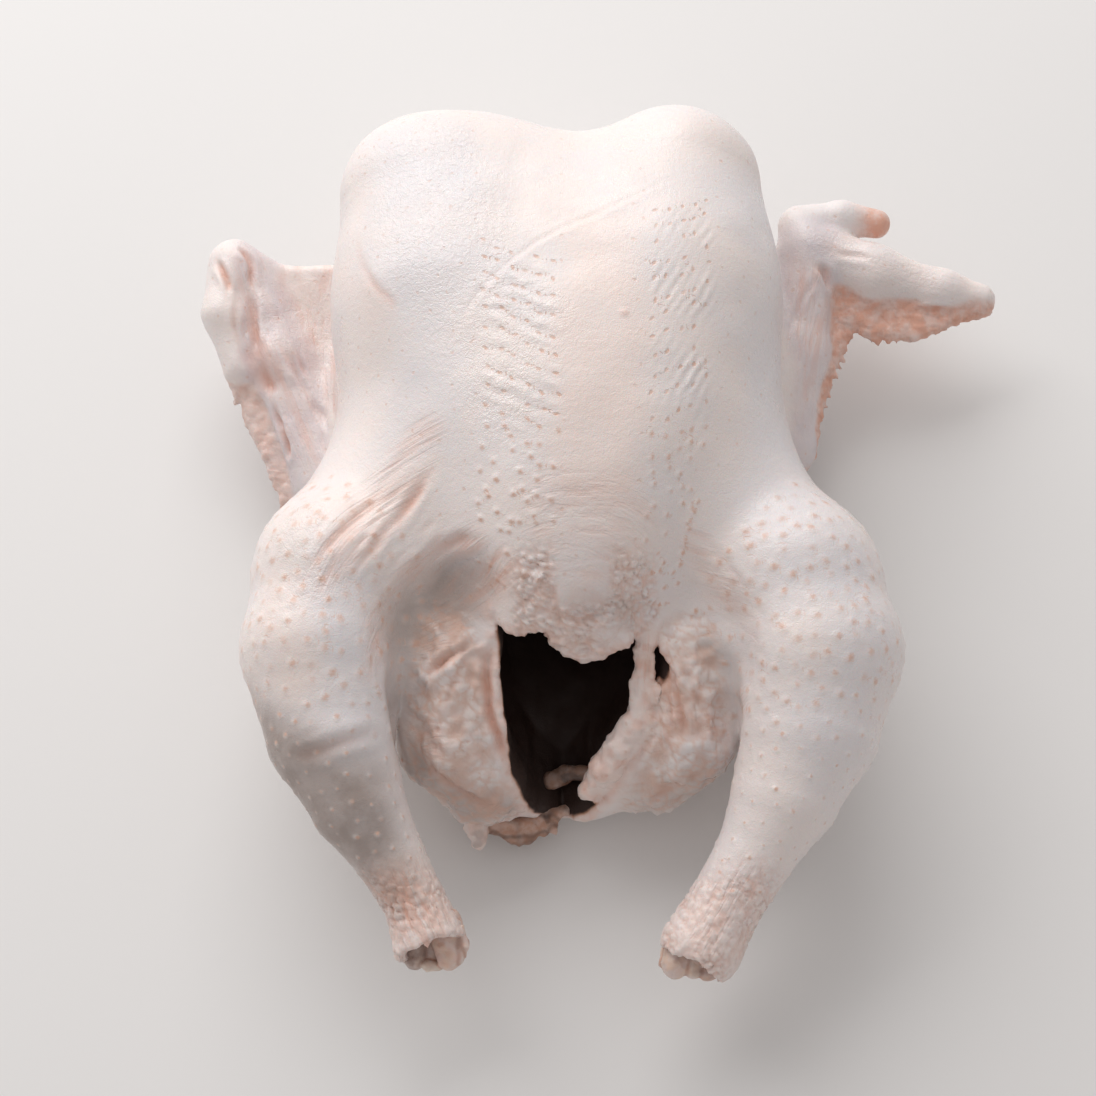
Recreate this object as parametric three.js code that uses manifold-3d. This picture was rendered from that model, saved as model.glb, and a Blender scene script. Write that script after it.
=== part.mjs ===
// A whole raw turkey, oven ready, lying on its back with the breast up and the legs untied.
// It is one closed solid: skin, meat and bone are one piece, with the empty body cavity open at the tail end.
// The flesh is worked out as a field of smoothly joined ovals, tapering limbs and skin sheets.
// The field is turned into a closed mesh on a grid, and the back is cut flat where the bird rests.
//
// Millimetres. +X is the right of the bird as seen from above, +Y points to the neck end, and +Z is up.
// The origin is on the flat rest of the back, on the body's line from neck to tail.
import * as THREE from "three";
import Module from "manifold-3d";

// ---- Driving dimensions ----

// Torso: the ovals of the trunk, [x, y, z] of the middle and [x, y, z] half sizes.
const TRUNK = { at: [-9, 38, 58], half: [88, 114, 61], square: 2.5 };
const ABDOMEN = { at: [-5, -84, 47], half: [74, 84, 54], square: 2.1, lean: [0, 0.5] };
const BREAST = { at: [-8, 15, 72], half: [87, 130, 81], square: 2.25, lean: [0.12, 0], taper: 0.002 };
const TRUNK_BLEND = 24;

// How wide the soft joins are inside a limb, inside a hand or flap edge, and where skin meets skin.
const LIMB_BLEND = 8;
const HAND_BLEND = 6;
const SKIN_BLEND = 4;

// The two lobes of the breast and the dip between them at the neck end: rows of [x, y, z, radius].
const LEFT_LOBE = [[-71, 126, 88, 44], [-63, 66, 88, 46], [-48, 10, 86, 44]];
const RIGHT_LOBE = [[51, 133, 89, 41], [46, 72, 92, 45], [38, 10, 90, 44]];
const WISHBONE = [[-34, 120, 84, 44], [8, 108, 84, 38]];
const LOBE_BLEND = 30;

// The flap of skin that hangs over the cavity from the tip of the keel.
const KEEL_FLAP = [[-15, -92, 98, 9], [-2, -98, 98, 12], [12, -99, 97, 12], [24, -95, 95, 9]];

// The thick flaps of skin and fat on the two sides of the cavity's mouth.
const FLAP_BLEND = 10;
const LEFT_FLAP = [[-62, -106, 72, 22], [-60, -140, 48, 22], [-45, -159, 32, 18]];
const RIGHT_FLAP = [[54, -108, 72, 22], [54, -138, 50, 21], [37, -154, 33, 17]];

// Legs: rows of [x, y, z, radius] from the hip over the knee to the cut hock.
const LEFT_THIGH = [[-62, 12, 54, 40], [-78, -34, 62, 42], [-110, -69, 79, 39]];
const LEFT_DRUMSTICK = [
  [-110, -69, 79, 39], [-118, -106, 79, 38], [-112, -145, 73, 31], [-100, -177, 67, 22],
  [-85, -201, 60, 16], [-74, -220, 54, 14], [-67, -238, 49, 17],
];
const RIGHT_THIGH = [[60, 12, 54, 38], [66, -34, 62, 40], [101, -74, 80, 40]];
const RIGHT_DRUMSTICK = [
  [101, -74, 80, 40], [111, -108, 79, 41], [107, -143, 73, 33], [96, -173, 67, 25],
  [82, -199, 60, 18], [68, -221, 54, 16.5], [57, -240, 49, 19],
];
const THIGH_BLEND = 32;
const DRUMSTICK_BLEND = 14;

// How far past the last ball the hocks are cut off.
const HOCK_CUT = 8;

// Left wing, folded: the forearm comes forward to the wrist and the hand lies back along it.
const LEFT_HUMERUS = [[-80, 84, 52, 24], [-100, 44, 40, 20], [-122, 2, 27, 14]];
const LEFT_FOREARM = [[-163, 104, 53, 12], [-149, 62, 43, 15], [-124, 4, 29, 15]];
const LEFT_HAND = [[-170, 108, 56, 13], [-173, 82, 54, 11.5], [-166, 54, 48, 8]];
const LEFT_WEB = [[-160, 105, 52], [-86, 105, 56], [-128, 8, 28]];
const LEFT_QUILL_EDGE = [[-170, 60, 45], [-140, -6, 26], [-126, 20, 32]];

// Right wing, open: the hand and the thumb stick out to the side.
const RIGHT_HUMERUS = [[74, 92, 52, 24], [92, 52, 40, 20], [104, 20, 27, 13]];
const RIGHT_FOREARM = [[105, 22, 27, 13], [112, 66, 40, 15], [119, 117, 52, 14]];
const RIGHT_HAND = [[119, 118, 53, 14], [150, 106, 51, 13.5], [184, 98, 47, 10], [204, 95, 45, 7.5]];
const RIGHT_THUMB = [[114, 132, 53, 11], [136, 137, 52, 8.5], [153, 135, 50, 7]];
const RIGHT_WEB = [[78, 108, 54], [118, 116, 52], [106, 24, 30]];
const RIGHT_QUILL_EDGE = [[116, 104, 48], [134, 76, 42], [110, 18, 27]];
const RIGHT_TIP_QUILLS = [
  [[126, 102, 48], [150, 77, 43], [170, 75, 43]], [[140, 104, 49], [170, 75, 43], [203, 91, 45]],
];
const SKIN_HALF_THICKNESS = 4.5;
const WING_BLEND = 12;

// Body cavity, open at the tail end: rows of [x, y, z, radius] from the neck end to the mouth.
const CAVITY = [[2, 58, 70, 30], [0, 0, 70, 42], [-2, -60, 66, 42], [-4, -104, 60, 34], [-5, -140, 42, 18]];
const CAVITY_BLEND = 20;

// The mouth, cut straight in from the tail end: an outline of [x, z], and how far in it goes at each height.
const MOUTH = [
  [-6, 17], [-18, 26], [-27, 48], [-31, 68], [-29, 87], [-35, 93], [-17, 97],
  [2, 93], [24, 92], [42, 84], [36, 76], [27, 71], [24, 60], [15, 46], [3, 28],
];
const MOUTH_IN = { y: -172, z: 22, depth: 30 };
const MOUTH_BLEND = 10;
const LIP_BLEND = 8;

// Grid that the field is meshed on, as [start, end, step], and the triangles kept of it.
const GRID_X = [-196, 220, 6.5];
const GRID_Y = [-268, 188, 6.5];
const GRID_Z = [-20, 170, 6.5];
const RELAX_PASSES = 3;
const TRIANGLES = 11000;

// ---- Field helpers: negative inside, about the distance in millimetres ----

const join = (a, b, k) => {
  const h = Math.max(k - Math.abs(a - b), 0) / k;
  return Math.min(a, b) - (h * h * k) / 4;
};
const cut = (a, b, k) => -join(-a, b, k);
const joinAll = (values, k) => values.reduce((a, b) => join(a, b, k));

// An oval with squared-off sides. Lean moves it in x and y with height, and taper widens it toward +Y.
function oval(p, { at, half, square, lean = [0, 0], taper = 0 }) {
  const z = p.z - at[2];
  const y = p.y - at[1] - lean[1] * z;
  const x = (p.x - at[0] - lean[0] * z) / (1 + taper * y);
  const share = [x, y, z].map((d, i) => Math.abs(d / half[i]));
  const size = share.reduce((sum, s) => sum + s ** square, 0) ** (1 / square);
  const slopes = share.map((s, i) => s ** (square - 1) / half[i]);
  const steep = Math.hypot(...slopes) / Math.max(size, 1e-6) ** (square - 1);
  return (size - 1) / Math.max(steep, 1e-6);
}

// A limb through balls of [x, y, z, radius], tapering from each to the next.
const start = new THREE.Vector3();
const along = new THREE.Vector3();
const offset = new THREE.Vector3();
function limb(p, balls, k) {
  const parts = balls.slice(1).map((ball, i) => {
    const before = balls[i];
    start.set(...before.slice(0, 3));
    along.set(...ball.slice(0, 3)).sub(start);
    offset.copy(p).sub(start);
    const t = THREE.MathUtils.clamp(offset.dot(along) / along.lengthSq(), 0, 1);
    return offset.addScaledVector(along, -t).length() - THREE.MathUtils.lerp(before[3], ball[3], t);
  });
  return joinAll(parts, k);
}

// A sheet of skin across three corners.
const triangle = new THREE.Triangle();
const nearest = new THREE.Vector3();
function sheet(p, corners) {
  triangle.set(...corners.map((c) => new THREE.Vector3(...c)));
  return triangle.closestPointToPoint(p, nearest).distanceTo(p) - SKIN_HALF_THICKNESS;
}

// Distance in a plane to a closed outline of [x, y] points.
function outline(x, y, points) {
  let nearestSquare = Infinity;
  let inside = false;
  points.forEach(([ax, ay], i) => {
    const [bx, by] = points[(i + 1) % points.length];
    const t = THREE.MathUtils.clamp(
      ((x - ax) * (bx - ax) + (y - ay) * (by - ay)) / ((bx - ax) ** 2 + (by - ay) ** 2), 0, 1);
    nearestSquare = Math.min(nearestSquare, (x - ax - t * (bx - ax)) ** 2 + (y - ay - t * (by - ay)) ** 2);
    if (ay > y !== by > y && x < ax + ((y - ay) / (by - ay)) * (bx - ax)) inside = !inside;
  });
  return Math.sqrt(nearestSquare) * (inside ? -1 : 1);
}

// ---- The bird ----

function trunk(p) {
  const body = joinAll([TRUNK, ABDOMEN, BREAST].map((shape) => oval(p, shape)), TRUNK_BLEND);
  const lobes = joinAll([LEFT_LOBE, RIGHT_LOBE, WISHBONE].map((balls) => limb(p, balls, LOBE_BLEND)), LOBE_BLEND);
  const flaps = [LEFT_FLAP, RIGHT_FLAP].map((balls) => limb(p, balls, FLAP_BLEND));
  return joinAll([join(body, lobes, LOBE_BLEND), ...flaps], FLAP_BLEND);
}

function drumstick(p, balls) {
  const [before, end] = balls.slice(-2);
  along.set(...end.slice(0, 3)).sub(start.set(...before.slice(0, 3))).normalize();
  const past = offset.copy(p).sub(start.set(...end.slice(0, 3))).dot(along) - HOCK_CUT;
  return -join(-limb(p, balls, LIMB_BLEND), -past, SKIN_BLEND);
}

function legs(p, body) {
  const thighs = Math.min(limb(p, LEFT_THIGH, THIGH_BLEND), limb(p, RIGHT_THIGH, THIGH_BLEND));
  const drumsticks = Math.min(drumstick(p, LEFT_DRUMSTICK), drumstick(p, RIGHT_DRUMSTICK));
  return join(join(body, thighs, THIGH_BLEND), drumsticks, DRUMSTICK_BLEND);
}

function leftWing(p) {
  const bones = [LEFT_HUMERUS, LEFT_FOREARM].map((balls) => limb(p, balls, LIMB_BLEND));
  const arm = joinAll([...bones, sheet(p, LEFT_WEB)], WING_BLEND);
  return joinAll([arm, limb(p, LEFT_HAND, HAND_BLEND), sheet(p, LEFT_QUILL_EDGE)], HAND_BLEND);
}

function rightWing(p) {
  const bones = [RIGHT_HUMERUS, RIGHT_FOREARM].map((balls) => limb(p, balls, LIMB_BLEND));
  const arm = joinAll([...bones, sheet(p, RIGHT_WEB)], WING_BLEND);
  const hand = join(limb(p, RIGHT_HAND, LIMB_BLEND), limb(p, RIGHT_THUMB, HAND_BLEND), LIMB_BLEND);
  const quills = [RIGHT_QUILL_EDGE, ...RIGHT_TIP_QUILLS].map((corners) => sheet(p, corners));
  return joinAll([arm, hand, ...quills], HAND_BLEND);
}

function mouth(p) {
  const face = MOUTH_IN.y + p.z - MOUTH_IN.z;
  return Math.max(outline(p.x, p.z, MOUTH), (p.y - face) * Math.SQRT1_2 - MOUTH_IN.depth);
}

function turkey(p) {
  const body = joinAll([legs(p, trunk(p)), leftWing(p), rightWing(p)], WING_BLEND);
  const hollow = join(limb(p, CAVITY, CAVITY_BLEND), mouth(p), MOUTH_BLEND);
  return join(cut(body, hollow, LIP_BLEND), limb(p, KEEL_FLAP, HAND_BLEND), SKIN_BLEND);
}

// ---- Meshing ----

const stations = ([from, to, step]) => {
  const count = Math.round((to - from) / step);
  return Array.from({ length: count + 1 }, (_, i) => THREE.MathUtils.lerp(from, to, i / count));
};

// The corners of a cell are numbered by bits: 1 for +x, 2 for +y, 4 for +z.
const CELL_EDGES = [];
for (let a = 0; a < 8; a++) {
  for (const bit of [1, 2, 4]) {
    if (!(a & bit)) CELL_EDGES.push([a, a | bit]);
  }
}
const CELL_FACES = [[1, 2, 4], [2, 4, 1], [4, 1, 2]].flatMap(([u, v, w]) => [0, w].map((base) =>
  [base, base | u, base | u | v, base | v]));

// For each pattern of inside corners, the groups of crossed edges that one surface patch passes through.
function patchesOf(pattern) {
  const inside = (corner) => (pattern >> corner) & 1;
  const crossed = CELL_EDGES.map(([a, b]) => inside(a) !== inside(b));
  const group = CELL_EDGES.map((_, i) => i);
  const root = (i) => (group[i] === i ? i : root(group[i]));
  const edgeAt = (a, b) => CELL_EDGES.findIndex(([c, d]) => (a === c && b === d) || (a === d && b === c));
  for (const face of CELL_FACES) {
    const ring = face.map((corner, i) => edgeAt(corner, face[(i + 1) % 4]));
    const hit = ring.filter((e) => crossed[e]);
    if (hit.length === 2) group[root(hit[0])] = root(hit[1]);
    if (hit.length === 4) {
      face.forEach((corner, i) => {
        if (inside(corner)) group[root(ring[i])] = root(ring[(i + 3) % 4]);
      });
    }
  }
  return CELL_EDGES.map((_, i) => (crossed[i] ? root(i) : -1));
}
const PATCHES = Array.from({ length: 256 }, (_, pattern) => patchesOf(pattern));

function meshOf(field, xs, ys, zs) {
  const [nx, ny, nz] = [xs.length, ys.length, zs.length];
  const at = (i, j, k) => i + nx * (j + ny * k);
  const values = new Float64Array(nx * ny * nz);
  const p = new THREE.Vector3();
  zs.forEach((z, k) => ys.forEach((y, j) => xs.forEach((x, i) => {
    values[at(i, j, k)] = field(p.set(x, y, z));
  })));
  const cornerOf = (i, j, k, c) => [i + (c & 1), j + ((c >> 1) & 1), k + ((c >> 2) & 1)];
  const patternOf = (i, j, k) => {
    let pattern = 0;
    for (let c = 0; c < 8; c++) {
      if (values[at(...cornerOf(i, j, k, c))] < 0) pattern |= 1 << c;
    }
    return pattern;
  };
  const eachCell = (from, visit) => {
    for (let k = from; k < nz - 1; k++) {
      for (let j = from; j < ny - 1; j++) {
        for (let i = from; i < nx - 1; i++) visit(i, j, k);
      }
    }
  };

  // One vertex for each patch, at the mean of its edges' crossings.
  const positions = [];
  const vertexOf = new Map();
  eachCell(0, (i, j, k) => {
    const pattern = patternOf(i, j, k);
    if (pattern === 0 || pattern === 255) return;
    const sums = new Map();
    PATCHES[pattern].forEach((patch, e) => {
      if (patch < 0) return;
      const [a, b] = CELL_EDGES[e].map((c) => cornerOf(i, j, k, c));
      const [va, vb] = [values[at(...a)], values[at(...b)]];
      const t = va / (va - vb);
      const place = [xs, ys, zs].map((s, axis) => THREE.MathUtils.lerp(s[a[axis]], s[b[axis]], t));
      const sum = sums.get(patch) ?? [0, 0, 0, 0];
      sums.set(patch, [sum[0] + place[0], sum[1] + place[1], sum[2] + place[2], sum[3] + 1]);
    });
    for (const [patch, [x, y, z, n]] of sums) {
      vertexOf.set(at(i, j, k) * 12 + patch, positions.length / 3);
      positions.push(x / n, y / n, z / n);
    }
  });

  // One quad for each crossed grid edge, through the four cells around it.
  const quads = [];
  const vertex = (cell, a, b) => {
    const edge = CELL_EDGES.findIndex(([c, d]) => c === a && d === b);
    return vertexOf.get(at(...cell) * 12 + PATCHES[patternOf(...cell)][edge]);
  };
  eachCell(1, (i, j, k) => {
    for (const [axis, u, v] of [[0, 1, 2], [1, 2, 0], [2, 0, 1]]) {
      const step = [0, 0, 0];
      step[axis] = 1;
      const here = values[at(i, j, k)];
      const there = values[at(i + step[0], j + step[1], k + step[2])];
      if (here < 0 === there < 0) continue;
      const quad = [[1, 1], [0, 1], [0, 0], [1, 0]].map(([du, dv]) => {
        const cell = [i, j, k];
        cell[u] -= du;
        cell[v] -= dv;
        const a = (du << u) | (dv << v);
        return vertex(cell, a, a | (1 << axis));
      });
      quads.push(here < 0 ? quad : quad.reverse());
    }
  });
  return { positions, quads };
}

// Moves a point onto the surface of the field.
const gradient = new THREE.Vector3();
function settle(p, field) {
  const reach = 0.2;
  const value = field(p);
  gradient.set(...["x", "y", "z"].map((axis) => {
    p[axis] += reach;
    const beyond = field(p);
    p[axis] -= reach;
    return (beyond - value) / reach;
  }));
  p.addScaledVector(gradient, -THREE.MathUtils.clamp(value, -3, 3) / Math.max(gradient.lengthSq(), 0.25));
}

// Evens out the mesh: each vertex goes toward the middle of its neighbours, then back to the surface.
function relax({ positions, quads }, field) {
  const neighbours = Array.from({ length: positions.length / 3 }, () => new Set());
  quads.forEach((quad) => quad.forEach((a, n) => {
    const b = quad[(n + 1) % 4];
    neighbours[a].add(b);
    neighbours[b].add(a);
  }));
  const p = new THREE.Vector3();
  for (let pass = 0; pass < RELAX_PASSES; pass++) {
    const places = neighbours.map((_, n) => new THREE.Vector3().fromArray(positions, 3 * n));
    neighbours.forEach((near, n) => {
      p.set(0, 0, 0);
      near.forEach((m) => p.add(places[m]));
      p.divideScalar(near.size).lerp(places[n], 0.4);
      settle(p, field);
      settle(p, field);
      p.toArray(positions, 3 * n);
    });
  }
}

// Splits each quad along its shorter diagonal.
function trianglesOf({ positions, quads }) {
  const between = (a, b) => Math.hypot(...[0, 1, 2].map((n) => positions[3 * a + n] - positions[3 * b + n]));
  return quads.flatMap(([a, b, c, d]) => (between(a, c) < between(b, d)
    ? [[a, b, c], [a, c, d]]
    : [[a, b, d], [b, c, d]]));
}

// Merges the ends of edges where the surface is flattest, until few enough triangles are left.
function thin({ positions }, triangles, goal, field) {
  const count = positions.length / 3;
  const places = Array.from({ length: count }, (_, n) => new THREE.Vector3().fromArray(positions, 3 * n));
  const around = places.map(() => new Set());
  const faces = new Set(triangles);
  faces.forEach((face) => face.forEach((n) => around[n].add(face)));
  const normalOf = (corners) => new THREE.Triangle(...corners).getNormal(new THREE.Vector3());
  const areaOf = (corners) => new THREE.Triangle(...corners).getArea();

  // How far a place is from the planes of the faces around a vertex, squared and weighted by area.
  const strayed = (n, place) => [...around[n]].reduce((sum, face) => {
    const corners = face.map((m) => places[m]);
    return sum + areaOf(corners) * normalOf(corners).dot(place.clone().sub(corners[0])) ** 2;
  }, 0);
  const ring = (n) => new Set([...around[n]].flat().filter((m) => m !== n));

  while (faces.size > goal) {
    const edges = [];
    faces.forEach((face) => face.forEach((a, i) => {
      const b = face[(i + 1) % 3];
      if (a > b) return;
      const middle = places[a].clone().lerp(places[b], 0.5);
      const cost = strayed(a, middle) + strayed(b, middle) + 0.02 * places[a].distanceToSquared(places[b]) ** 1.5;
      edges.push({ a, b, cost });
    }));
    edges.sort((one, other) => one.cost - other.cost);
    const touched = new Set();
    for (const { a, b } of edges.slice(0, edges.length / 4)) {
      if (faces.size <= goal) break;
      const near = [ring(a), ring(b)];
      const shared = [...near[0]].filter((n) => near[1].has(n));
      const all = new Set([...near[0], ...near[1]]);
      if (shared.length !== 2 || [...all].some((n) => touched.has(n))) continue;
      const middle = places[a].clone().lerp(places[b], 0.5);
      settle(middle, field);
      const gone = [...around[a]].filter((face) => around[b].has(face));
      const kept = [...new Set([...around[a], ...around[b]])].filter((face) => !gone.includes(face));
      const turned = kept.some((face) => {
        const before = normalOf(face.map((n) => places[n]));
        return normalOf(face.map((n) => (n === a || n === b ? middle : places[n]))).dot(before) < 0.5;
      });
      if (turned) continue;
      gone.forEach((face) => {
        faces.delete(face);
        face.forEach((n) => around[n].delete(face));
      });
      around[b].forEach((face) => {
        face[face.indexOf(b)] = a;
        around[a].add(face);
      });
      around[b].clear();
      places[a].copy(middle);
      all.forEach((n) => touched.add(n));
    }
    if (!touched.size) break;
  }
  const used = new Map();
  const rows = [...faces].map((face) => face.map((n) => used.get(n) ?? used.set(n, used.size).get(n)));
  return { positions: [...used.keys()].flatMap((n) => places[n].toArray()), triangles: rows.flat() };
}

// ---- The solid ----

const wasm = await Module();
wasm.setup();

const solid = ({ positions, triangles }) => new wasm.Manifold(new wasm.Mesh({
  numProp: 3, vertProperties: new Float32Array(positions), triVerts: new Uint32Array(triangles) }));

// What reaches below the table is cut away, which leaves the flat rest on the back.
function belowTable() {
  const size = 1000;
  const box = new THREE.BoxGeometry(size, size, size).translate(0, 0, -size / 2);
  const corners = box.getAttribute("position");
  const places = [];
  const triangles = Array.from(box.index.array, (n) => {
    const place = [corners.getX(n), corners.getY(n), corners.getZ(n)];
    const found = places.findIndex((q) => q.every((value, axis) => value === place[axis]));
    return found < 0 ? places.push(place) - 1 : found;
  });
  return solid({ positions: places.flat(), triangles });
}

const net = meshOf(turkey, stations(GRID_X), stations(GRID_Y), stations(GRID_Z));
relax(net, turkey);
const flesh = solid(thin(net, trianglesOf(net), TRIANGLES, turkey));
const rested = flesh.subtract(belowTable());
const { vertProperties, triVerts } = rested.getMesh();

const geometry = new THREE.BufferGeometry();
geometry.setAttribute("position", new THREE.BufferAttribute(vertProperties, 3));
geometry.setIndex(new THREE.BufferAttribute(triVerts, 1));
geometry.computeVertexNormals();

const skin = new THREE.MeshStandardMaterial({ color: 0xe9dcd6, roughness: 0.45, metalness: 0 });
const bird = new THREE.Mesh(geometry, skin);
bird.name = "turkey";

const group = new THREE.Group();
group.add(bird);

export default group;
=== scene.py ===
"""A whole raw turkey on its back: its skin, folds, feather follicles, wings, hocks and open cavity.

Lengths in the shape code are millimetres in the object's own frame: +X right, +Y to the neck end, +Z up.
Everything that Blender gets is in metres.
"""

import math

import bpy
import numpy as np
import openvdb
from bpy.props import FloatProperty, FloatVectorProperty, PointerProperty
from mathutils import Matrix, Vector, kdtree


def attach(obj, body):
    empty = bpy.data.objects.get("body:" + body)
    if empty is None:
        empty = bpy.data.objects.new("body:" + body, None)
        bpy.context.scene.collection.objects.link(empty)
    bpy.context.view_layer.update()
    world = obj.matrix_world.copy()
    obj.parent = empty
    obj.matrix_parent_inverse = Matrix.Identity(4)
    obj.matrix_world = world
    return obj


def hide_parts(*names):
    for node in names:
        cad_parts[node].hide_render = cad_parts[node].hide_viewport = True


bl_info = {
    "name": "Whole raw turkey",
    "version": (1, 0, 0),
    "blender": (4, 5, 0),
    "location": "3D View > Sidebar > Turkey",
    "description": "Builds a whole raw turkey with its skin, hocks, tail tissue and a plain stage",
    "category": "Object",
}

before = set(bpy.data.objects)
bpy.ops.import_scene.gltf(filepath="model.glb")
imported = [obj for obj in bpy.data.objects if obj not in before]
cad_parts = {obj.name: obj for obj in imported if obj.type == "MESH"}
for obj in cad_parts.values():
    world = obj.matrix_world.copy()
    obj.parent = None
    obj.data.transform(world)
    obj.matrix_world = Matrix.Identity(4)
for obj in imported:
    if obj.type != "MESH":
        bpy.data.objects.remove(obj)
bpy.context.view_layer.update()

MM = 0.001

# ---- The body's main forms: the same named sizes as the solid model ----

TRUNK = {"at": (-9, 38, 58), "half": (88, 114, 61), "square": 2.5}
ABDOMEN = {"at": (-5, -84, 47), "half": (74, 84, 54), "square": 2.1, "lean": (0, 0.5)}
BREAST = {"at": (-8, 15, 72), "half": (87, 130, 81), "square": 2.25, "lean": (0.12, 0), "taper": 0.002}
TRUNK_BLEND = 24

# Limbs are rows of (x, y, z, radius).
LEFT_LOBE = [(-71, 126, 88, 44), (-63, 66, 88, 46), (-48, 10, 86, 44)]
RIGHT_LOBE = [(51, 133, 89, 41), (46, 72, 92, 45), (38, 10, 90, 44)]
WISHBONE = [(-34, 120, 84, 44), (8, 108, 84, 38)]
LOBE_BLEND = 30
KEEL_FLAP = [(-15, -92, 98, 9), (-2, -98, 98, 12), (12, -99, 97, 12), (24, -95, 95, 9)]
LEFT_FLAP = [(-62, -106, 72, 22), (-60, -140, 48, 22), (-45, -159, 32, 18)]
RIGHT_FLAP = [(54, -108, 72, 22), (54, -138, 50, 21), (37, -154, 33, 17)]
LEFT_THIGH = [(-62, 12, 54, 40), (-78, -34, 62, 42), (-110, -69, 79, 39)]
LEFT_DRUMSTICK = [
    (-110, -69, 79, 39), (-118, -106, 79, 38), (-112, -145, 73, 31), (-100, -177, 67, 22),
    (-85, -201, 60, 16), (-74, -220, 54, 14), (-67, -238, 49, 17),
]
RIGHT_THIGH = [(60, 12, 54, 38), (66, -34, 62, 40), (101, -74, 80, 40)]
RIGHT_DRUMSTICK = [
    (101, -74, 80, 40), (111, -108, 79, 41), (107, -143, 73, 33), (96, -173, 67, 25),
    (82, -199, 60, 18), (68, -221, 54, 16.5), (57, -240, 49, 19),
]
THIGH_BLEND = 32
DRUMSTICK_BLEND = 12
FLAP_CREASE_BLEND = 3
# Where the skin ends past the hock, and how far its end leans back at the top.
LEFT_SKIN_END = (3.5, 0.12)
RIGHT_SKIN_END = (8.5, 0.0)
HOCK_WALL = 3.2
LEFT_HUMERUS = [(-80, 84, 52, 24), (-100, 44, 40, 20), (-122, 2, 27, 14)]
LEFT_FOREARM = [(-163, 104, 53, 12), (-149, 62, 43, 15), (-124, 4, 29, 15)]
LEFT_HAND = [(-170, 108, 56, 13), (-173, 82, 54, 11.5), (-166, 54, 48, 8)]
LEFT_WEB = [(-160, 105, 52), (-86, 105, 56), (-128, 8, 28)]
LEFT_QUILL_EDGE = [(-170, 60, 45), (-140, -6, 26), (-126, 20, 32)]
RIGHT_HUMERUS = [(74, 92, 52, 24), (92, 52, 40, 20), (104, 20, 27, 13)]
RIGHT_FOREARM = [(105, 22, 27, 13), (112, 66, 40, 15), (119, 117, 52, 14)]
RIGHT_HAND = [(119, 118, 53, 14), (150, 106, 51, 13.5), (184, 98, 47, 10), (204, 95, 45, 7.5)]
RIGHT_THUMB = [(114, 132, 53, 11), (136, 137, 52, 8.5), (153, 135, 50, 7)]
RIGHT_WEB = [(78, 108, 54), (118, 116, 52), (106, 24, 30)]
RIGHT_QUILL_EDGE = [(116, 104, 48), (134, 76, 42), (110, 18, 27)]
RIGHT_TIP_QUILLS = [[(126, 102, 48), (150, 77, 43), (170, 75, 43)], [(140, 104, 49), (170, 75, 43), (203, 91, 45)]]
SHEET_HALF_THICKNESS = 3.6
WING_BLEND = 12
CAVITY = [(2, 58, 70, 30), (0, 0, 70, 42), (-2, -60, 66, 42), (-4, -104, 60, 34), (-5, -140, 42, 18)]
CAVITY_BLEND = 20
MOUTH = [
    (-6, 17), (-18, 26), (-27, 48), (-31, 68), (-29, 87), (-35, 93), (-17, 97),
    (2, 93), (24, 92), (42, 84), (36, 76), (27, 71), (24, 60), (15, 46), (3, 28),
]
MOUTH_IN = {"y": -172, "z": 22, "depth": 30}
MOUTH_BLEND = 10
LIP_BLEND = 8
BODY_LOW = (-192, -262, -8)
BODY_HIGH = (216, 182, 162)

# Rows of quill stumps along the wings' trailing edges: (from, to) lines of the roots and of the tips.
QUILL_ROWS = [
    {"roots": [(124, 100, 50), (152, 94, 47), (180, 90, 45), (200, 93, 45)],
     "tips": [(138, 76, 42), (154, 73, 41), (176, 74, 42), (209, 87, 43)], "count": 19, "radius": 4.0},
    {"roots": [(121, 92, 46), (116, 60, 38), (108, 20, 28)],
     "tips": [(139, 74, 41), (128, 47, 34), (113, 8, 24)], "count": 15, "radius": 3.6},
    {"roots": [(-166, 66, 47), (-155, 34, 38), (-138, 4, 28)],
     "tips": [(-171, 50, 42), (-158, 20, 33), (-142, -12, 24)], "count": 13, "radius": 3.8},
]

# ---- Details of the skin ----

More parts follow.
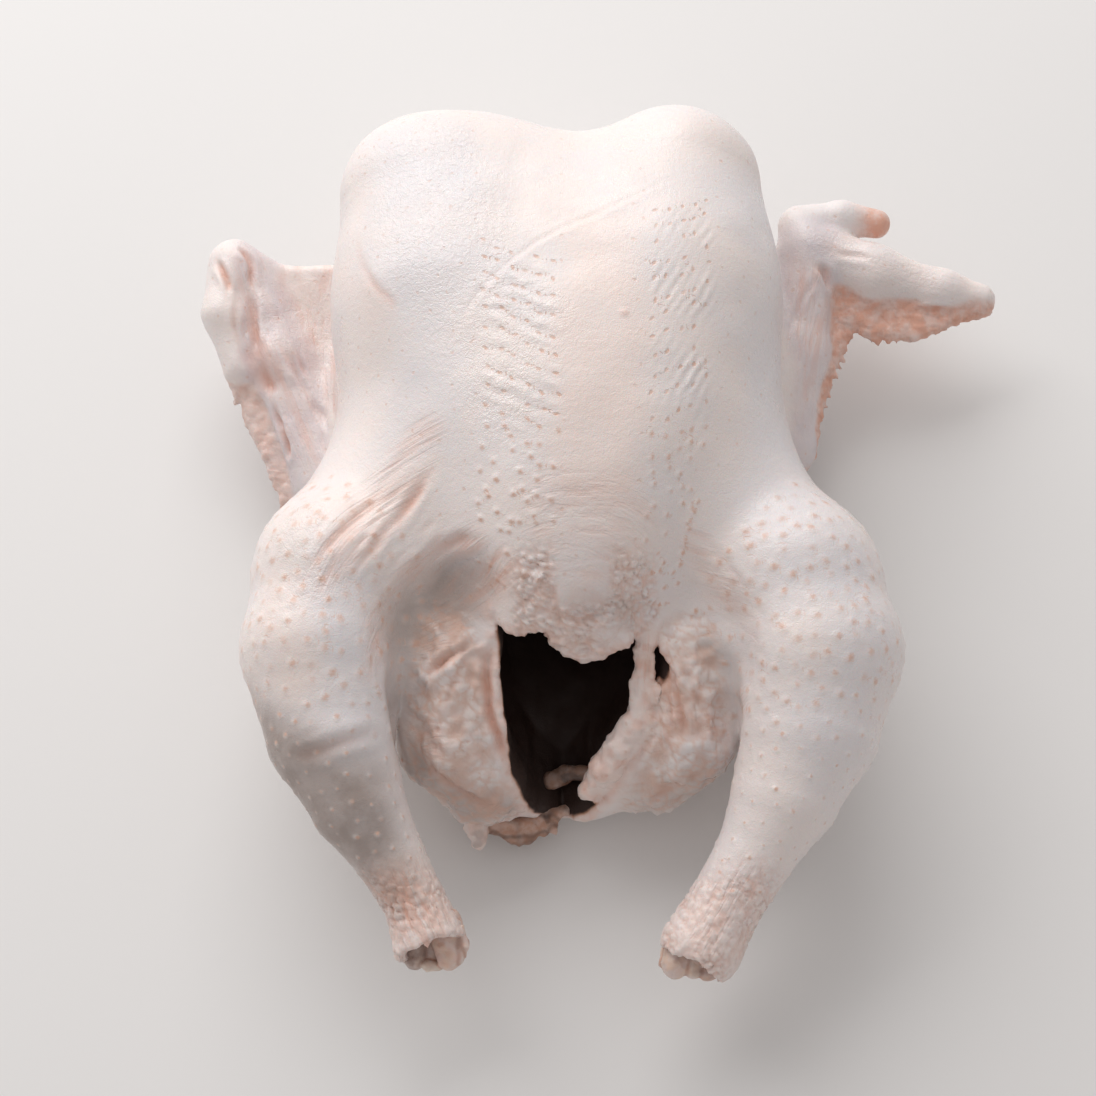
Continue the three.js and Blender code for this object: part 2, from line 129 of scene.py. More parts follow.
# Folds: half width, depth, height of the lip on the left of the line, how orange, and the line.
FOLDS = [
    # Streaks of stretched skin from the breast over the left thigh.
    (2.8, 0.9, 0.4, 0.5, [(-72, -16, 127), (-96, -51, 119), (-116, -76, 122), (-130, -89, 119)]),
    (2.2, 1.6, 0.6, 1.0, [(-64, -33, 125), (-78, -52, 118), (-95, -76, 120), (-107, -94, 120)]),
    (1.7, 1.0, 0.4, 0.8, [(-57, -60, 118), (-71, -73, 110), (-86, -91, 111), (-93, -112, 111), (-94, -126, 108)]),
    (2.4, 2.3, 1.0, 1.0, [(-42, -65, 122), (-58, -69, 114), (-74, -81, 107), (-86, -99, 110), (-92, -114, 109)]),
    (1.7, 1.0, 0.5, 0.6, [(-38, -73, 120), (-64, -78, 106), (-79, -93, 106), (-85, -108, 105)]),
    (1.5, 0.7, 0.3, 0.3, [(-80, -40, 119), (-93, -62, 120), (-106, -80, 122)]),
    (1.4, 0.6, 0.3, 0.35, [(-62, -54, 118), (-77, -70, 114), (-94, -94, 115)]),
    (1.6, 0.5, 0.2, 0.1, [(-92, -20, 118), (-108, -48, 120), (-122, -68, 121)]),
    # The skin that laps over the left flap, and creases beside it.
    (2.0, 2.4, 1.3, 0.9, [(-75, -126, 84), (-67, -120, 88), (-50, -109, 92), (-39, -104, 95)]),
    (1.2, 1.1, 0.4, 0.5, [(-76, -122, 90), (-60, -110, 94), (-49, -103, 94)]),
    (1.0, 0.8, 0.3, 0.3, [(-74, -116, 94), (-67, -108, 96), (-59, -99, 97)]),
    (1.2, 1.2, 0.3, 0.8, [(-81, -142, 80), (-70, -142, 75), (-61, -146, 72)]),
    (1.1, 0.9, 0.3, 0.5, [(-81, -147, 79), (-71, -147, 72), (-63, -152, 68)]),
    (1.2, 1.0, 0.3, 0.1, [(-79, -157, 71), (-68, -158, 63), (-56, -166, 53)]),
    (2.0, 3.4, 0.6, 1.0, [(-40, -106, 92), (-41, -114, 87), (-41, -122, 82), (-40, -133, 75),
                          (-36, -146, 67), (-32, -154, 58), (-27, -162, 46)]),
    # Bands and veins over the right flap.
    (1.7, -1.3, 0.0, 0.35, [(44, -115, 90), (48, -128, 83), (52, -140, 76), (57, -149, 72)]),
    (1.5, 1.5, 0.0, 0.6, [(40, -120, 84), (43, -134, 77), (46, -147, 69)]),
    (1.5, 1.4, 0.0, 0.35, [(49, -116, 93), (54, -128, 85), (58, -137, 79)]),
    (1.2, -1.0, 0.0, 0.1, [(51, -116, 94), (55, -125, 87), (61, -133, 80)]),
    (1.4, 1.6, 0.5, 0.5, [(42, -113, 88), (39, -122, 78), (34, -129, 73), (31, -138, 70), (28, -148, 63)]),
    (1.7, 1.7, 0.0, 0.8, [(31, -134, 66), (25, -150, 58), (17, -163, 44), (9, -169, 34)]),
    (1.3, 1.0, 0.2, 0.2, [(20, -163, 42), (34, -160, 48), (52, -156, 60)]),
    # The keel's end.
    (1.7, 1.2, 0.4, 0.5, [(-14, -82, 128), (-11, -95, 119), (-7, -105, 109), (-8, -112, 102)]),
    (2.0, 1.0, 0.5, 0.15, [(-10, -101, 113), (2, -104, 111), (15, -102, 111)]),
    (1.2, 0.8, 0.3, 0.5, [(-32, -101, 106), (-21, -95, 117), (-12, -86, 127)]),
    (1.0, 0.6, 0.2, 0.4, [(-25, -104, 107), (-14, -100, 114), (-9, -91, 123)]),
    # The right thigh.
    (2.4, 1.4, 0.4, 0.3, [(50, -70, 113), (64, -86, 105), (76, -103, 107), (80, -118, 104)]),
    (2.0, 0.9, 0.3, 0.2, [(55, -62, 116), (70, -80, 112), (84, -101, 114)]),
    (2.0, 1.5, 0.3, 0.35, [(56, -84, 103), (64, -101, 100), (67, -117, 95)]),
    # The left calf's bulge ends in a dent.
    (2.8, 1.8, 0.5, 0.25, [(-134, -163, 89), (-120, -164, 98), (-109, -161, 101), (-98, -157, 100), (-85, -152, 91)]),
    # The step across the breast, and faint lines below the left shoulder.
    (1.5, 0.3, 0.4, 0.08, [(58, 118, 137), (21, 93, 146), (-17, 72, 148), (-44, 45, 148), (-60, 20, 144)]),
    (2.2, 0.3, 0.1, 0.4, [(-101, 71, 127), (-92, 53, 133), (-83, 40, 136)]),
    (2.0, 0.25, 0.1, 0.35, [(-104, 88, 120), (-98, 66, 128), (-90, 50, 132)]),
    # The left wing.
    (1.3, 2.4, 0.4, 1.0, [(-179, 106, 66), (-173, 96, 67), (-170, 86, 67)]),
    (1.6, 1.8, 0.4, 0.8, [(-168, 113, 68), (-161, 104, 66), (-159, 90, 64)]),
    (1.3, 1.4, 0.3, 0.3, [(-167, 86, 66), (-167, 70, 62), (-162, 55, 57)]),
    (1.8, 2.2, 0.4, 0.7, [(-160, 92, 64), (-158, 72, 60), (-157, 58, 56)]),
    (4.0, 5.0, 0.0, 1.0, [(-158, 68, 57), (-153, 50, 52), (-148, 38, 48)]),
    (1.5, 2.8, 0.9, 1.0, [(-149, 40, 48), (-146, 28, 46), (-143, 22, 44), (-141, 12, 42), (-143, 4, 40),
                          (-138, -6, 38)]),
    (1.5, 1.2, 0.4, 0.5, [(-160, 99, 62), (-148, 78, 57), (-136, 56, 53), (-118, 24, 48)]),
    (1.6, 1.5, 0.4, 0.25, [(-150, 72, 57), (-138, 52, 54), (-126, 32, 50), (-112, 8, 46)]),
    (1.4, 1.6, 0.3, 1.0, [(-118, 30, 50), (-112, 16, 48), (-106, 4, 46)]),
    # The right wing.
    (1.6, 3.0, 0.5, 0.5, [(121, 106, 64), (127, 97, 60), (134, 91, 55)]),
    (1.6, 1.8, 0.4, 1.0, [(133, 91, 55), (150, 87, 53), (172, 85, 51), (196, 90, 49)]),
    (1.4, 1.6, 0.4, 0.8, [(122, 92, 52), (117, 60, 46), (110, 26, 36)]),
    (1.2, 1.0, 0.3, 0.1, [(121, 98, 62), (112, 84, 60), (108, 70, 56)]),
    (1.8, 1.1, 0.4, 0.2, [(126, 112, 64), (142, 108, 65), (160, 99, 60)]),
    (1.4, 1.2, 0.3, 0.4, [(122, 124, 62), (134, 120, 61), (146, 117, 60)]),
    (1.5, 1.2, 0.4, 0.5, [(34, -112, 90), (33, -119, 81), (30, -126, 71), (25, -135, 59)]),
    (1.8, 1.4, 0.5, 0.55, [(44, -119, 88), (45, -129, 81), (50, -140, 75), (48, -150, 69)]),
    (1.6, 1.2, 0.4, 0.4, [(59, -123, 88), (56, -131, 82), (62, -138, 76), (68, -140, 74)]),
    (1.6, 1.1, 0.4, 0.45, [(39, -140, 71), (32, -149, 63), (25, -157, 54)]),
    (1.8, 1.0, 0.4, 0.4, [(54, -156, 64), (43, -165, 47), (30, -169, 38)]),
    (1.6, 1.2, 0.5, 0.45, [(-58, -111, 93), (-67, -121, 88), (-74, -131, 79)]),
    (1.4, 1.0, 0.3, 0.45, [(-49, -111, 90), (-56, -124, 85), (-63, -140, 76)]),
    (2.0, 1.4, 0.6, 0.5, [(-74, -151, 68), (-63, -162, 58), (-47, -169, 47), (-31, -171, 39)]),
    (1.2, 0.8, 0.3, 0.4, [(-79, -139, 78), (-70, -140, 74), (-59, -141, 75)]),
    (1.2, 0.8, 0.3, 0.4, [(-78, -147, 74), (-68, -151, 69), (-57, -155, 67)]),
]

# Lumps: place, radius, height and how orange. The last is a blister on the keel.
LUMPS = [
    (-42, -110, 89, 4.4, 1.2, 0.2), (-44, -118, 85, 5.2, 1.1, 0), (-45, -124, 81, 3.6, 1.3, 0.3),
    (-43, -129, 78, 4.6, 1.0, 0), (-43, -136, 74, 3.6, 1.2, 0.3), (-40, -142, 70, 4.4, 0.9, 0),
    (40, -127, 79, 4.0, 1.0, 0), (38, -139, 73, 5.2, 1.0, 0.2), (48, -150, 69, 6.5, 0.9, 0),
    (34, -150, 63, 5.0, 1.0, 0), (22, 31, 153, 3.0, 0.5, 0.4),
]

# Fine wrinkles: they ring or ray out from a place, or lie across a direction, inside a zone of limb form.
WRINKLES = [
    {"rings": (-35, -125), "spacing": 3.2, "height": 0.33, "pink": 0.3,
     "zone": [(-68, -18, 126, 15), (-98, -56, 120, 19), (-114, -86, 120, 13)]},
    {"rings": (-35, -125), "spacing": 2.4, "height": 0.44, "pink": 0.45,
     "zone": [(-46, -68, 119, 11), (-70, -80, 108, 14), (-86, -104, 109, 13), (-93, -126, 105, 9)]},
    {"rays": (-96, -112), "reach": 45, "spacing": 2.4, "height": 0.39, "pink": 0.5,
     "zone": [(-30, -80, 118, 14), (-52, -88, 103, 16), (-70, -112, 96, 15)]},
    {"rays": (-92, -146), "reach": 24, "spacing": 2.2, "height": 0.44, "pink": 0.4,
     "zone": [(-80, -145, 77, 12), (-66, -150, 68, 13)]},
    {"across": (0, 0.5, 0.86), "spacing": 2.6, "height": 0.44, "pink": 0.1,
     "zone": [(-62, -170, 40, 11), (-40, -174, 40, 11), (-26, -170, 34, 7)]},
    {"across": (0, 0.86, -0.5), "spacing": 1.9, "height": 0.3, "pink": 0.2,
     "zone": [(-6, -62, 138, 24), (16, -66, 136, 24), (4, -88, 122, 24), (4, -106, 108, 13)]},
    {"rays": (86, -130), "reach": 22, "spacing": 2.3, "height": 0.55, "pink": 0.35,
     "zone": [(74, -136, 82, 12), (64, -140, 76, 13)]},
    {"rings": (44, -136), "spacing": 2.6, "height": 0.33, "pink": 0.25,
     "zone": [(52, -66, 114, 12), (66, -88, 105, 14), (76, -108, 106, 11)]},
    {"rays": (30, -70), "reach": 50, "spacing": 2.2, "height": 0.5, "pink": 0.5,
     "zone": [(34, -108, 90, 9), (38, -122, 82, 13), (44, -136, 76, 13), (38, -150, 66, 10)]},
    {"across": (0.93, 0.36, 0), "spacing": 2.8, "height": 0.33, "pink": 0.3,
     "zone": [(-164, 104, 62, 16), (-152, 70, 54, 18), (-128, 10, 42, 16)]},
    {"rays": (-118, -6), "reach": 60, "spacing": 3.2, "height": 0.33, "pink": 0.4,
     "zone": [(-130, 92, 58, 28), (-118, 60, 54, 22), (-112, 20, 48, 12)]},
    {"across": (0.99, -0.15, 0), "spacing": 2.8, "height": 0.39, "pink": 0.35,
     "zone": [(108, 30, 38, 13), (114, 66, 50, 17), (118, 104, 58, 15)]},
    {"across": (0.26, 0.96, 0), "spacing": 3.0, "height": 0.25, "pink": 0.2,
     "zone": [(128, 116, 60, 16), (160, 104, 56, 14), (196, 96, 50, 11)]},
    {"across": (0.9, 0.44, 0), "spacing": 2.2, "height": 0.55, "pink": 0.4,
     "zone": [(-80, -212, 62, 17), (-68, -238, 54, 20)]},
    {"across": (0.85, -0.52, 0), "spacing": 2.4, "height": 0.5, "pink": 0.35,
     "zone": [(76, -208, 62, 18), (60, -238, 54, 21)]},
]

# Tints of whole areas: a mask's name, its strength, how softly it ends, and a limb that it lies in.
ZONES = [
    ("warm", 0.8, 22, [(14, 70, 150, 16), (10, 20, 153, 22), (8, -40, 146, 20)]),
    ("warm", 0.5, 16, [(-110, 66, 118, 10), (-96, 44, 130, 12)]),
    ("warm", 0.5, 20, [(-134, -96, 112, 14), (-128, -130, 108, 12)]),
    ("warm", 0.6, 14, [(-60, -140, 70, 16), (-44, -124, 82, 10)]),
    ("cool", 0.9, 26, [(80, 100, 104, 26), (84, 30, 96, 28), (86, -30, 96, 22), (112, -80, 110, 24)]),
    ("cool", 0.7, 24, [(-70, 120, 120, 30), (-62, 60, 132, 26), (-70, 0, 120, 20)]),
    ("cool", 0.8, 22, [(-112, -92, 116, 16), (-102, -120, 112, 14), (-100, -150, 98, 16)]),
    ("cool", 0.6, 24, [(128, -110, 110, 18), (118, -150, 96, 16)]),
    # These zones are painted shade over some dark flesh showing through thin skin. They darken the hollows where the
    # thighs meet the belly, the creases beside both flaps, the outer lower left leg and the keel's end.
    ("shade_and_dark_flesh", 0.75, 22, [(-44, -85, 108, 7), (-60, -88, 98, 15), (-71, -98, 96, 15), (-76, -112, 92, 10)]),
    ("shade_and_dark_flesh", 0.6, 14, [(-79, -117, 93, 7), (-79, -132, 81, 8), (-78, -148, 72, 8), (-75, -159, 54, 9),
                       (-60, -165, 50, 10), (-45, -169, 43, 9), (-31, -170, 38, 6)]),
    ("shade_and_dark_flesh", 0.85, 26, [(-150, -140, 82, 10), (-132, -166, 88, 20), (-112, -186, 85, 22), (-97, -205, 78, 18),
                        (-84, -222, 70, 10)]),
    ("shade_and_dark_flesh", 0.45, 12, [(62, -104, 99, 5), (65, -118, 92, 6), (69, -132, 81, 7), (71, -147, 72, 6)]),
    ("shade_and_dark_flesh", 0.4, 16, [(60, -154, 62, 8), (49, -164, 45, 11), (33, -168, 40, 10)]),
    ("shade_and_dark_flesh", 0.3, 14, [(2, -98, 114, 6), (24, -100, 106, 6)]),
    ("gloss", 1.0, 22, [(-70, 120, 124, 30), (-60, 70, 134, 30), (-34, 30, 148, 24), (-34, -10, 144, 18)]),
    ("gloss", 0.8, 16, [(-128, -62, 118, 16), (-116, -84, 120, 12)]),
    ("gloss", 0.9, 10, [(6, -108, 108, 14)]),
    ("gloss", 0.8, 12, [(-58, -152, 66, 14), (30, -156, 56, 12), (40, -136, 74, 10)]),
    ("gloss", 0.7, 14, [(-120, 60, 54, 24), (-150, 80, 58, 12)]),
    ("gloss", 0.7, 12, [(130, 116, 60, 12), (170, 100, 56, 10)]),
]

# Feather tracts on the two sides of the keel: middle line, columns and how far the rows rise to the right.
TRACTS = [
    {"line": [(-27, 66, 149), (-26, 24, 150), (-25, -11, 148), (-27, -44, 142), (-28, -73, 130), (-29, -96, 110)],
     "columns": 6, "rise": -0.47, "ridge": -0.47, "deep": 0.8, "streak": -0.5},
    {"line": [(50, 92, 147), (48, 24, 149), (47, -10, 146), (46, -41, 136), (45, -68, 120), (44, -92, 104)],
     "columns": 5, "rise": 0.5, "ridge": 2.02, "deep": 0.7, "streak": 1.1},
]
FOLLICLE_ACROSS = 6.3
FOLLICLE_ALONG = 9.6
RAISED_FROM_Y = -8
RAISED_TO_Y = -42

# Creases between the drumsticks and the flaps, and the hollows where the thighs meet the belly.
CREASES = [
    [(-68, -100, 101, 4), (-74, -112, 94, 7), (-78, -128, 86, 8), (-78, -142, 76, 8), (-76, -158, 62, 6)],
    [(61, -112, 95, 3), (66, -124, 86, 4), (70, -137, 76, 5), (72, -148, 69, 5)],
]
CREASE_BLEND = 7
CROOKS = [
    [(-55, -92, 112, 16), (-71, -104, 107, 14)],
    [(62, -108, 110, 14), (66, -120, 104, 9)],
]
CROOK_BLEND = 18

# ---- Bone, gristle and torn tissue: limbs of (x, y, z, radius) with how dark and how orange they are ----

LEFT_HOCK_ENDS = [
    {"limb": [(-60, -230, 49, 8.5), (-57.5, -244, 46, 6.4)], "dark": 0.1, "orange": 0.6},
    {"limb": [(-53.5, -238, 49, 4), (-53, -246, 48, 2.6)], "dark": 0.0, "orange": 0.05},
    {"limb": [(-73, -230, 43, 7), (-74, -243, 40, 5.2)], "dark": 0.95, "orange": 0.2},
    {"limb": [(-66, -230, 41, 7.5), (-66, -243, 37, 5)], "dark": 0.6, "orange": 0.4},
    {"limb": [(-71.5, -246, 41, 1.6), (-68, -247, 42, 2.6), (-63, -247, 42, 1.8)], "dark": 0.0, "orange": 0.2},
    {"limb": [(-52.5, -232, 54, 1.6), (-50.5, -241, 51, 1.4), (-50, -247, 47, 0.9)], "dark": 0.1, "orange": 0.5},
]
RIGHT_HOCK_ENDS = [
    {"limb": [(50, -234, 45, 9), (45.5, -247, 46, 6.8)], "dark": 0.05, "orange": 0.45},
    {"limb": [(55, -234, 46, 9), (53, -248, 45, 5.6)], "dark": 0.1, "orange": 0.3},
    {"limb": [(61, -234, 46, 9), (60.5, -248, 43, 6.6)], "dark": 0.4, "orange": 0.7},
    {"limb": [(66, -234, 45, 9), (67, -246, 42, 6)], "dark": 0.6, "orange": 0.5},
    {"limb": [(61, -232, 53, 5), (59.5, -246, 52, 3.6)], "dark": 0.0, "orange": 0.05},
    {"limb": [(68, -230, 51, 6), (68.5, -244, 50, 5)], "dark": 0.15, "orange": 0.7},
    {"limb": [(42, -236, 45, 3), (39, -247, 44, 1.5)], "dark": 0.0, "orange": 0.35},
]
HOCK_CUP = {"at": (43.5, -254, 53), "radius": 3.8}
TAIL_TISSUE = [
    {"limb": [(-49, -160, 30, 8), (-47, -174, 23, 5.6), (-46, -181, 18.5, 3.6)], "dark": 0.0, "orange": 0.05},
    {"limb": [(-42, -168, 22, 4), (-34, -173, 18, 4.4), (-22, -172, 15, 5), (-12, -169, 16, 4)], "dark": 0.2,
     "orange": 1.1},
    {"limb": [(-38, -174, 17, 2.6), (-27, -177, 14, 3.2), (-16, -174, 14, 2.2)], "dark": 0.3, "orange": 1.0},
    {"limb": [(-14, -166, 17, 4), (-2, -165, 17, 3), (8, -164, 21, 3)], "dark": 0.2, "orange": 0.9},
    {"limb": [(-12, -170, 17, 2.2), (-9, -176, 14, 1.6)], "dark": 0.1, "orange": 0.7},
    {"limb": [(4, -165, 21, 3.2), (16, -164, 24, 2.6), (26, -160, 28, 2.2)], "dark": 0.1, "orange": 0.7},
]
# Strands inside the cavity. Their high dark share lays the nearly black lining tone on them: painted shade of the deep
# cavity over their own brown.
CAVITY_STRANDS = [
    {"limb": [(-11, -152, 24, 4.6), (-5, -150, 27, 4.2), (3, -150, 30, 3.4), (11, -152, 33, 3), (19, -155, 37, 3.5)],
     "dark": 0.62, "orange": 1.0},
    {"limb": [(14, -150, 22, 2.2), (10, -152, 30, 1.6), (14, -154, 38, 1.8)], "dark": 0.75, "orange": 0.9},
]

# Membranes at the right of the mouth.
MEMBRANES = [
    ((27, -96, 93), (37, -99, 93), (26, -132, 73)),
    ((37, -99, 93), (34, -136, 71), (26, -132, 73)),
]
MEMBRANE_HALF_THICKNESS = 1.4
MOUTH_LIP = [(30, -127, 72, 3.5), (26, -139, 66, 5), (20, -148, 59, 6), (13, -156, 51, 6), (6, -163, 42, 5)]
KEEL_TIP = [(-8, -106, 99, 4.5), (-1, -111, 95, 4.5), (5, -113, 92.5, 4), (12, -111, 94, 4.5), (21, -108, 97, 4.5)]

# ---- Field helpers: negative inside, about the distance in millimetres ----


def join(a, b, blend):
    """The two forms together, with a soft join about blend wide."""
    near = np.maximum(blend - np.abs(a - b), 0) / blend
    return np.minimum(a, b) - near * near * blend / 4


def cut(a, b, blend):
    """The first form without the second, with a soft edge."""
    return -join(-a, b, blend)


def join_all(values, blend):
    """All of the forms together."""
    whole = values[0]
    for value in values[1:]:
        whole = join(whole, value, blend)
    return whole


def oval(p, at, half, square, lean=(0, 0), taper=0):
    """An oval with squared-off sides, moved over with height by lean and widened toward +Y by taper."""
    z = p[:, 2] - at[2]
    y = p[:, 1] - at[1] - lean[1] * z
    x = (p[:, 0] - at[0] - lean[0] * z) / (1 + taper * y)
    shares = [np.abs(along / size) for along, size in zip((x, y, z), half)]
    size = sum(share**square for share in shares) ** (1 / square)
    slopes = [share ** (square - 1) / length for share, length in zip(shares, half)]
    steep = np.sqrt(sum(slope * slope for slope in slopes)) / np.maximum(size, 1e-3) ** (square - 1)
    return (size - 1) / np.maximum(steep, 1e-6)


def limb(p, balls, blend):
    """A limb through balls of (x, y, z, radius), tapering from each to the next."""
    whole = None
    for before, after in zip(balls, balls[1:] or balls):
        start = np.array(before[:3], np.float32)
        along = np.array(after[:3], np.float32) - start
        offset = p - start
        t = np.clip(offset @ along / max(along @ along, 1e-9), 0, 1)
        offset -= t[:, None] * along
        part = np.sqrt((offset * offset).sum(1)) - (before[3] + (after[3] - before[3]) * t)
        whole = part if whole is None else join(whole, part, blend)
    return whole


def sheet(p, corners, half_thickness=SHEET_HALF_THICKNESS):
    """A sheet of skin across three corners."""
    a, b, c = (np.array(corner, np.float32) for corner in corners)
    sides = ((b - a, p - a), (c - b, p - b), (a - c, p - c))
    normal = np.cross(b - a, a - c)
    over = sum(np.sign(q @ np.cross(side, normal)) for side, q in sides)
    edge = None
    for side, q in sides:
        rest = q - np.clip(q @ side / (side @ side), 0, 1)[:, None] * side
        square = (rest * rest).sum(1)
        edge = square if edge is None else np.minimum(edge, square)
    plane = ((p - a) @ normal) ** 2 / (normal @ normal)
    return np.sqrt(np.where(over < 2, edge, plane)) - half_thickness


def outline(x, y, points):
    """Distance in a plane to a closed outline."""
    nearest = np.full(len(x), 1e12, np.float32)
    inside = np.zeros(len(x), bool)
    for (ax, ay), (bx, by) in zip(points, points[1:] + points[:1]):
        t = np.clip(((x - ax) * (bx - ax) + (y - ay) * (by - ay)) / ((bx - ax) ** 2 + (by - ay) ** 2), 0, 1)
        nearest = np.minimum(nearest, (x - ax - t * (bx - ax)) ** 2 + (y - ay - t * (by - ay)) ** 2)
        if ay != by:
            inside ^= ((ay > y) != (by > y)) & (x < ax + (y - ay) / (by - ay) * (bx - ax))
    return np.sqrt(nearest) * np.where(inside, -1, 1)


def soft(low, high, value):
    """0 below low, 1 above high, and smooth between; low may be the higher of the two."""
    t = np.clip((value - low) / (high - low), 0, 1)
    return t * t * (3 - 2 * t)


def along_line(points, count):
    """Places spread evenly by number along a line of points."""
    points = np.array(points, np.float32)
    t = np.linspace(0, len(points) - 1, count)
    index = np.minimum(t.astype(int), len(points) - 2)
    return points[index] + (t - index)[:, None] * (points[index + 1] - points[index])


def line_distance(p, points):
    """Distance to a line of points, how far along it (0 to 1), and which side (above 0 on its left)."""
    best = np.full(len(p), 1e9, np.float32)
    where = np.zeros(len(p), np.float32)
    side = np.zeros(len(p), np.float32)
    for i, (a, b) in enumerate(zip(points[:-1], points[1:])):
        a = np.array(a, np.float32)
        along = np.array(b, np.float32) - a
        offset = p - a
        t = np.clip(offset @ along / (along @ along), 0, 1)
        d = np.linalg.norm(offset - t[:, None] * along, axis=1)
        nearer = d < best
        where = np.where(nearer, (i + t) / (len(points) - 1), where)
        side = np.where(nearer, along[0] * offset[:, 1] - along[1] * offset[:, 0], side)
        best = np.minimum(best, d)
    return best, where, side


# ---- Noise, made from whole-number hashes so that it is the same in every run ----


def lattice_value(cell, seed):
    """A number from 0 to 1 for each whole-number cell."""
    h = cell[..., 0] * 374761393 + cell[..., 1] * 668265263 + cell[..., 2] * 1274126177 + seed * 974711
    h = (h ^ (h >> 13)) * 1103515245
    h = h ^ (h >> 16)
    return (h & 0xFFFFFF).astype(np.float32) / 0xFFFFFF


def rough(p, size, seed=0):
    """Smooth noise from -1 to 1 with lumps of the given size; size may be three sizes for x, y and z."""
    q = p / np.array(size, np.float32)
    base = np.floor(q).astype(np.int64)
    t = q - base
    t = t * t * (3 - 2 * t)
    value = np.zeros(len(p), np.float32)
    for dx in (0, 1):
        for dy in (0, 1):
            for dz in (0, 1):
                step = np.array((dx, dy, dz))
                weight = np.abs(1 - step - t).prod(1)
                value += weight * lattice_value(base + step, seed)
    return value * 2 - 1


def cells(p, size, seed=0):
    """Distance to the nearest and the next nearest of scattered points, as shares of their spacing."""
    q = p / np.array(size, np.float32)
    base = np.floor(q).astype(np.int64)
    first = np.full(len(p), 9, np.float32)
    second = np.full(len(p), 9, np.float32)
    for shift in np.ndindex(3, 3, 3):
        cell = base + np.array(shift) - 1
        spot = cell + np.stack([lattice_value(cell, seed + n) for n in range(3)], 1)
        d = np.linalg.norm(q - spot, axis=1)
        second = np.minimum(second, np.maximum(first, d))
        first = np.minimum(first, d)
    return first, second


# ---- The bird ----


def drumstick(p, balls, skin_end, lean):
    """A leg, its skin cut off at the hock and open round the ends of the bones."""
    before, end = (np.array(ball[:3], np.float32) for ball in balls[-2:])
    way = (end - before) / np.linalg.norm(end - before)
    slope = way + np.array((0, 0, lean), np.float32)
    slope /= np.linalg.norm(slope)
    skin = limb(p, balls, 1.5)
    close = np.flatnonzero(np.linalg.norm(p - end, axis=1) < 45)
    q = p[close]
    past = (q - end) @ slope - skin_end + rough(q, 6, 55) * 2.6 + rough(q, 2.5, 56) * 1.3
    opening = [(*(end - way * 9), balls[-1][3] - HOCK_WALL - 2), (*(end + way * 26), balls[-1][3] - HOCK_WALL)]
    skin[close] = cut(-join(-skin[close], -past, 1.2), limb(q, opening, 2), 1.2)
    return skin


def torso(p):
    """Trunk, abdomen, breast and the flaps beside the cavity's mouth."""
    body = join_all([oval(p, **TRUNK), oval(p, **ABDOMEN), oval(p, **BREAST)], TRUNK_BLEND)
    lobes = join_all([limb(p, balls, LOBE_BLEND) for balls in (LEFT_LOBE, RIGHT_LOBE, WISHBONE)], LOBE_BLEND)
    flaps = [limb(p, balls, 10) for balls in (LEFT_FLAP, RIGHT_FLAP)]
    return join_all([join(body, lobes, LOBE_BLEND), *flaps], 10)


def drumsticks(p):
    """Both drumsticks."""
    return np.minimum(drumstick(p, LEFT_DRUMSTICK, *LEFT_SKIN_END), drumstick(p, RIGHT_DRUMSTICK, *RIGHT_SKIN_END))


def legs(p, body):
    """The body with its thighs and drumsticks."""
    thighs = np.minimum(limb(p, LEFT_THIGH, THIGH_BLEND), limb(p, RIGHT_THIGH, THIGH_BLEND))
    blend = FLAP_CREASE_BLEND + (DRUMSTICK_BLEND - FLAP_CREASE_BLEND) * soft(-98, -66, p[:, 1])
    return join(join(body, thighs, THIGH_BLEND), drumsticks(p), blend)


def quills(p, row, seed):
    """A row of flat quill stumps side by side, which gives the trailing edge its teeth."""
    dice = np.random.default_rng(seed)
    roots = along_line(row["roots"], row["count"])
    tips = along_line(row["tips"], row["count"]) + dice.normal(0, 0.9, (row["count"], 3))
    near = np.linalg.norm(p - (roots.mean(0) + tips.mean(0)) / 2, axis=1)
    whole = np.full(len(p), 1e3, np.float32)
    close = near < np.linalg.norm(roots - roots.mean(0), axis=1).max() + 24
    for root, tip in zip(roots, tips):
        ball = [(*root, row["radius"]), (*(root * 0.35 + tip * 0.65), row["radius"] * 0.85), (*tip, 1.1)]
        part = limb(p[close], ball, 2)
        whole[close] = join(whole[close], part, 1.2)
    return whole


def left_wing(p):
    """The folded wing."""
    arm = join_all([limb(p, LEFT_HUMERUS, 8), limb(p, LEFT_FOREARM, 8), sheet(p, LEFT_WEB)], WING_BLEND)
    return join_all([arm, limb(p, LEFT_HAND, 6), sheet(p, LEFT_QUILL_EDGE, 3), quills(p, QUILL_ROWS[2], 3)], 4)


def right_wing(p):
    """The wing that is held out."""
    arm = join_all([limb(p, RIGHT_HUMERUS, 8), limb(p, RIGHT_FOREARM, 8), sheet(p, RIGHT_WEB)], WING_BLEND)
    hand = join(limb(p, RIGHT_HAND, 8), limb(p, RIGHT_THUMB, 6), 8)
    edges = [sheet(p, corners, 2.6) for corners in [RIGHT_QUILL_EDGE, *RIGHT_TIP_QUILLS]]
    teeth = [quills(p, row, 7 + i) for i, row in enumerate(QUILL_ROWS[:2])]
    return join(join(arm, hand, 6), join_all([*edges, *teeth], 2), 4)


def hollow(p):
    """The body cavity and its mouth."""
    face = MOUTH_IN["y"] + p[:, 2] - MOUTH_IN["z"]
    ragged = rough(p, 9, 5) * 1.1 + rough(p, 4, 6) * 0.5
    opening = np.maximum(outline(p[:, 0], p[:, 2], MOUTH) + ragged, (p[:, 1] - face) * 0.7071 - MOUTH_IN["depth"])
    return join(limb(p, CAVITY, CAVITY_BLEND), opening, MOUTH_BLEND)


